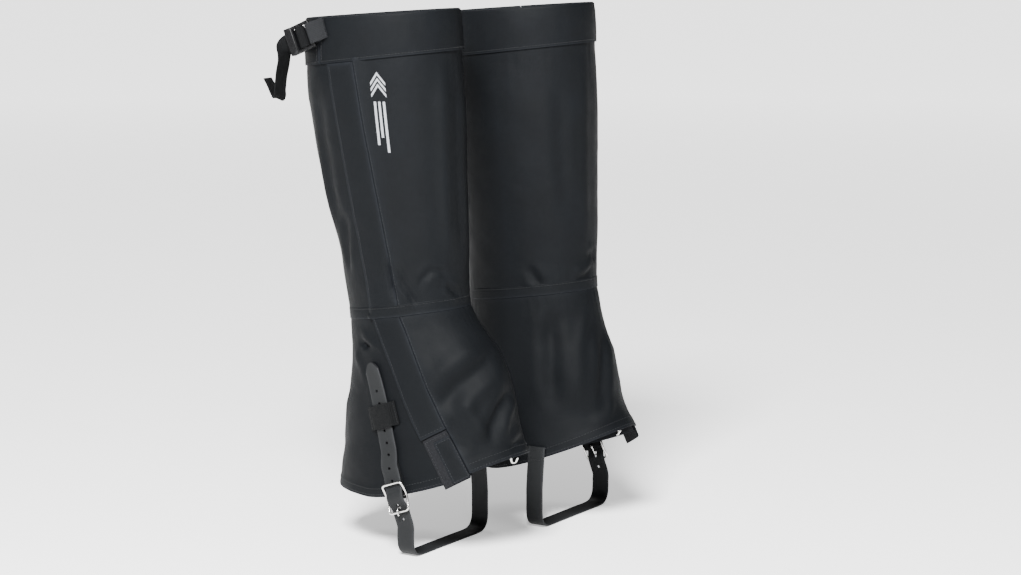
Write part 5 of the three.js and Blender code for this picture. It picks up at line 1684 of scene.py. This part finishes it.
def add_lace_hook(g):
    """Short webbing loop inside the front hem, and the wire hook that swings on it."""
    hem = float(front_hem(0))
    inside = lambda up, depth: sleeve(g, 0.0, hem + up, -depth)
    thick, wire, room, layer = 1.0, 1.0, 0.35, 0.7
    near = FABRIC + LIGHT_FABRIC + 3 * layer + thick / 2
    bar = inside(9.0, near + wire + room + thick / 2 + 0.3)
    turn = wire + room + thick / 2
    ring = [bar + [0, turn * math.cos(math.radians(a)), turn * math.sin(math.radians(a))]
            for a in (165, 200, 235, 270, 305, 340, 375)]
    legs = near + thick + room
    path = [inside(25, near), inside(18, near), *ring, inside(18, legs), inside(25, legs)]
    dense, sides = smooth_path(path, [[(1.0, 0, 0)] * len(path)], 8)
    tab = strap_object(g, "lace_hook_tab", dense, sides, 12, thick, 7)
    finish_piece(tab, "webbing", slot="webbing", stands_for=("lace_hook_tab",))
    route = [(8, 0, 0), (-8, 0, 0), (-9.4, 0, -1.6), (-8.4, 0.3, -6), (-3.2, 0.6, -12.2), (-2, 0.8, -16.5),
             (0, 0.4, -18.4), (1.8, -1.6, -17.6), (1.4, -4, -13.6)]
    dense, = smooth_path([bar + np.array(p, float) for p in route], (), 9)
    hook = tube_object(g, "lace_hook", dense, wire, 12)
    finish_piece(hook, "nickel", f"{g.side}_lace_hook", "buckle_metal", ("lace_hook",))


# ---------------------------------------------------------------- both gaiters

for gaiter in (RIGHT, LEFT):
    add_panels(gaiter)
    add_mid_seam(gaiter)
    add_hem(gaiter)
    add_collar(gaiter)
    add_closure(gaiter)
    add_mark(gaiter)
    add_lock(gaiter)
    add_lock_loop(gaiter)
    add_collar_strap(gaiter)
    add_tail(gaiter)
    add_instep_strap(gaiter)
    add_keeper(gaiter)
    add_buckle_tab(gaiter)
    add_buckle(gaiter)
    add_lace_hook(gaiter)


# ---------------------------------------------------------------- stage, light and camera

# metres, degrees and watts; the camera is the one fitted to the photograph
FLOOR_HALF = 16.0
LIGHT_TARGET = (0, 0, 0.26)
CAMERA_TARGET, CAMERA_DISTANCE, CAMERA_ANGLES, CAMERA_LENS = (0, -0.0507, 0.244), 2.66, (-58, 9), 95.2
WORLD_GLOW = 0.14


def add_floor():
    mesh = bpy.data.meshes.new("floor")
    half = FLOOR_HALF
    corners = [(-half, -half, 0), (half, -half, 0), (half, half, 0), (-half, half, 0)]
    mesh.from_pydata(corners, [], [(0, 1, 2, 3)])
    floor = bpy.data.objects.new("floor", mesh)
    bpy.context.scene.collection.objects.link(floor)
    floor.data.materials.append(floor_material("pale floor"))


def toward_viewer(azimuth, elevation):
    """Unit vector from the object to a place at these angles, in degrees; 0, 0 is straight in front."""
    a, e = math.radians(azimuth), math.radians(elevation)
    return Vector((math.sin(a) * math.cos(e), -math.cos(a) * math.cos(e), math.sin(e)))


def add_light(name, azimuth, elevation, distance, size, power):
    back = toward_viewer(azimuth, elevation)
    data = bpy.data.lights.new(name, "AREA")
    data.shape, data.size, data.energy = "SQUARE", size, power
    lamp = bpy.data.objects.new(name, data)
    lamp.location = Vector(LIGHT_TARGET) + back * distance
    lamp.rotation_euler = (-back).to_track_quat("-Z", "Y").to_euler()
    bpy.context.scene.collection.objects.link(lamp)


def add_camera():
    back = toward_viewer(*CAMERA_ANGLES)
    data = bpy.data.cameras.new("camera")
    data.lens, data.sensor_width = CAMERA_LENS, 36.0
    data.clip_start, data.clip_end = 0.05, 60
    camera = bpy.data.objects.new("camera", data)
    camera.location = Vector(CAMERA_TARGET) + back * CAMERA_DISTANCE
    camera.rotation_euler = (-back).to_track_quat("-Z", "Y").to_euler()
    bpy.context.scene.collection.objects.link(camera)
    bpy.context.scene.camera = camera


add_floor()
add_light("key", -68, 44, 2.6, 0.8, 330)
add_light("back", 140, 50, 2.8, 1.6, 25)
world = bpy.data.worlds.new("studio")
world.use_nodes = True
world.node_tree.nodes["Background"].inputs["Color"].default_value = (1, 1, 1, 1)
world.node_tree.nodes["Background"].inputs["Strength"].default_value = WORLD_GLOW
bpy.context.scene.world = world
add_camera()
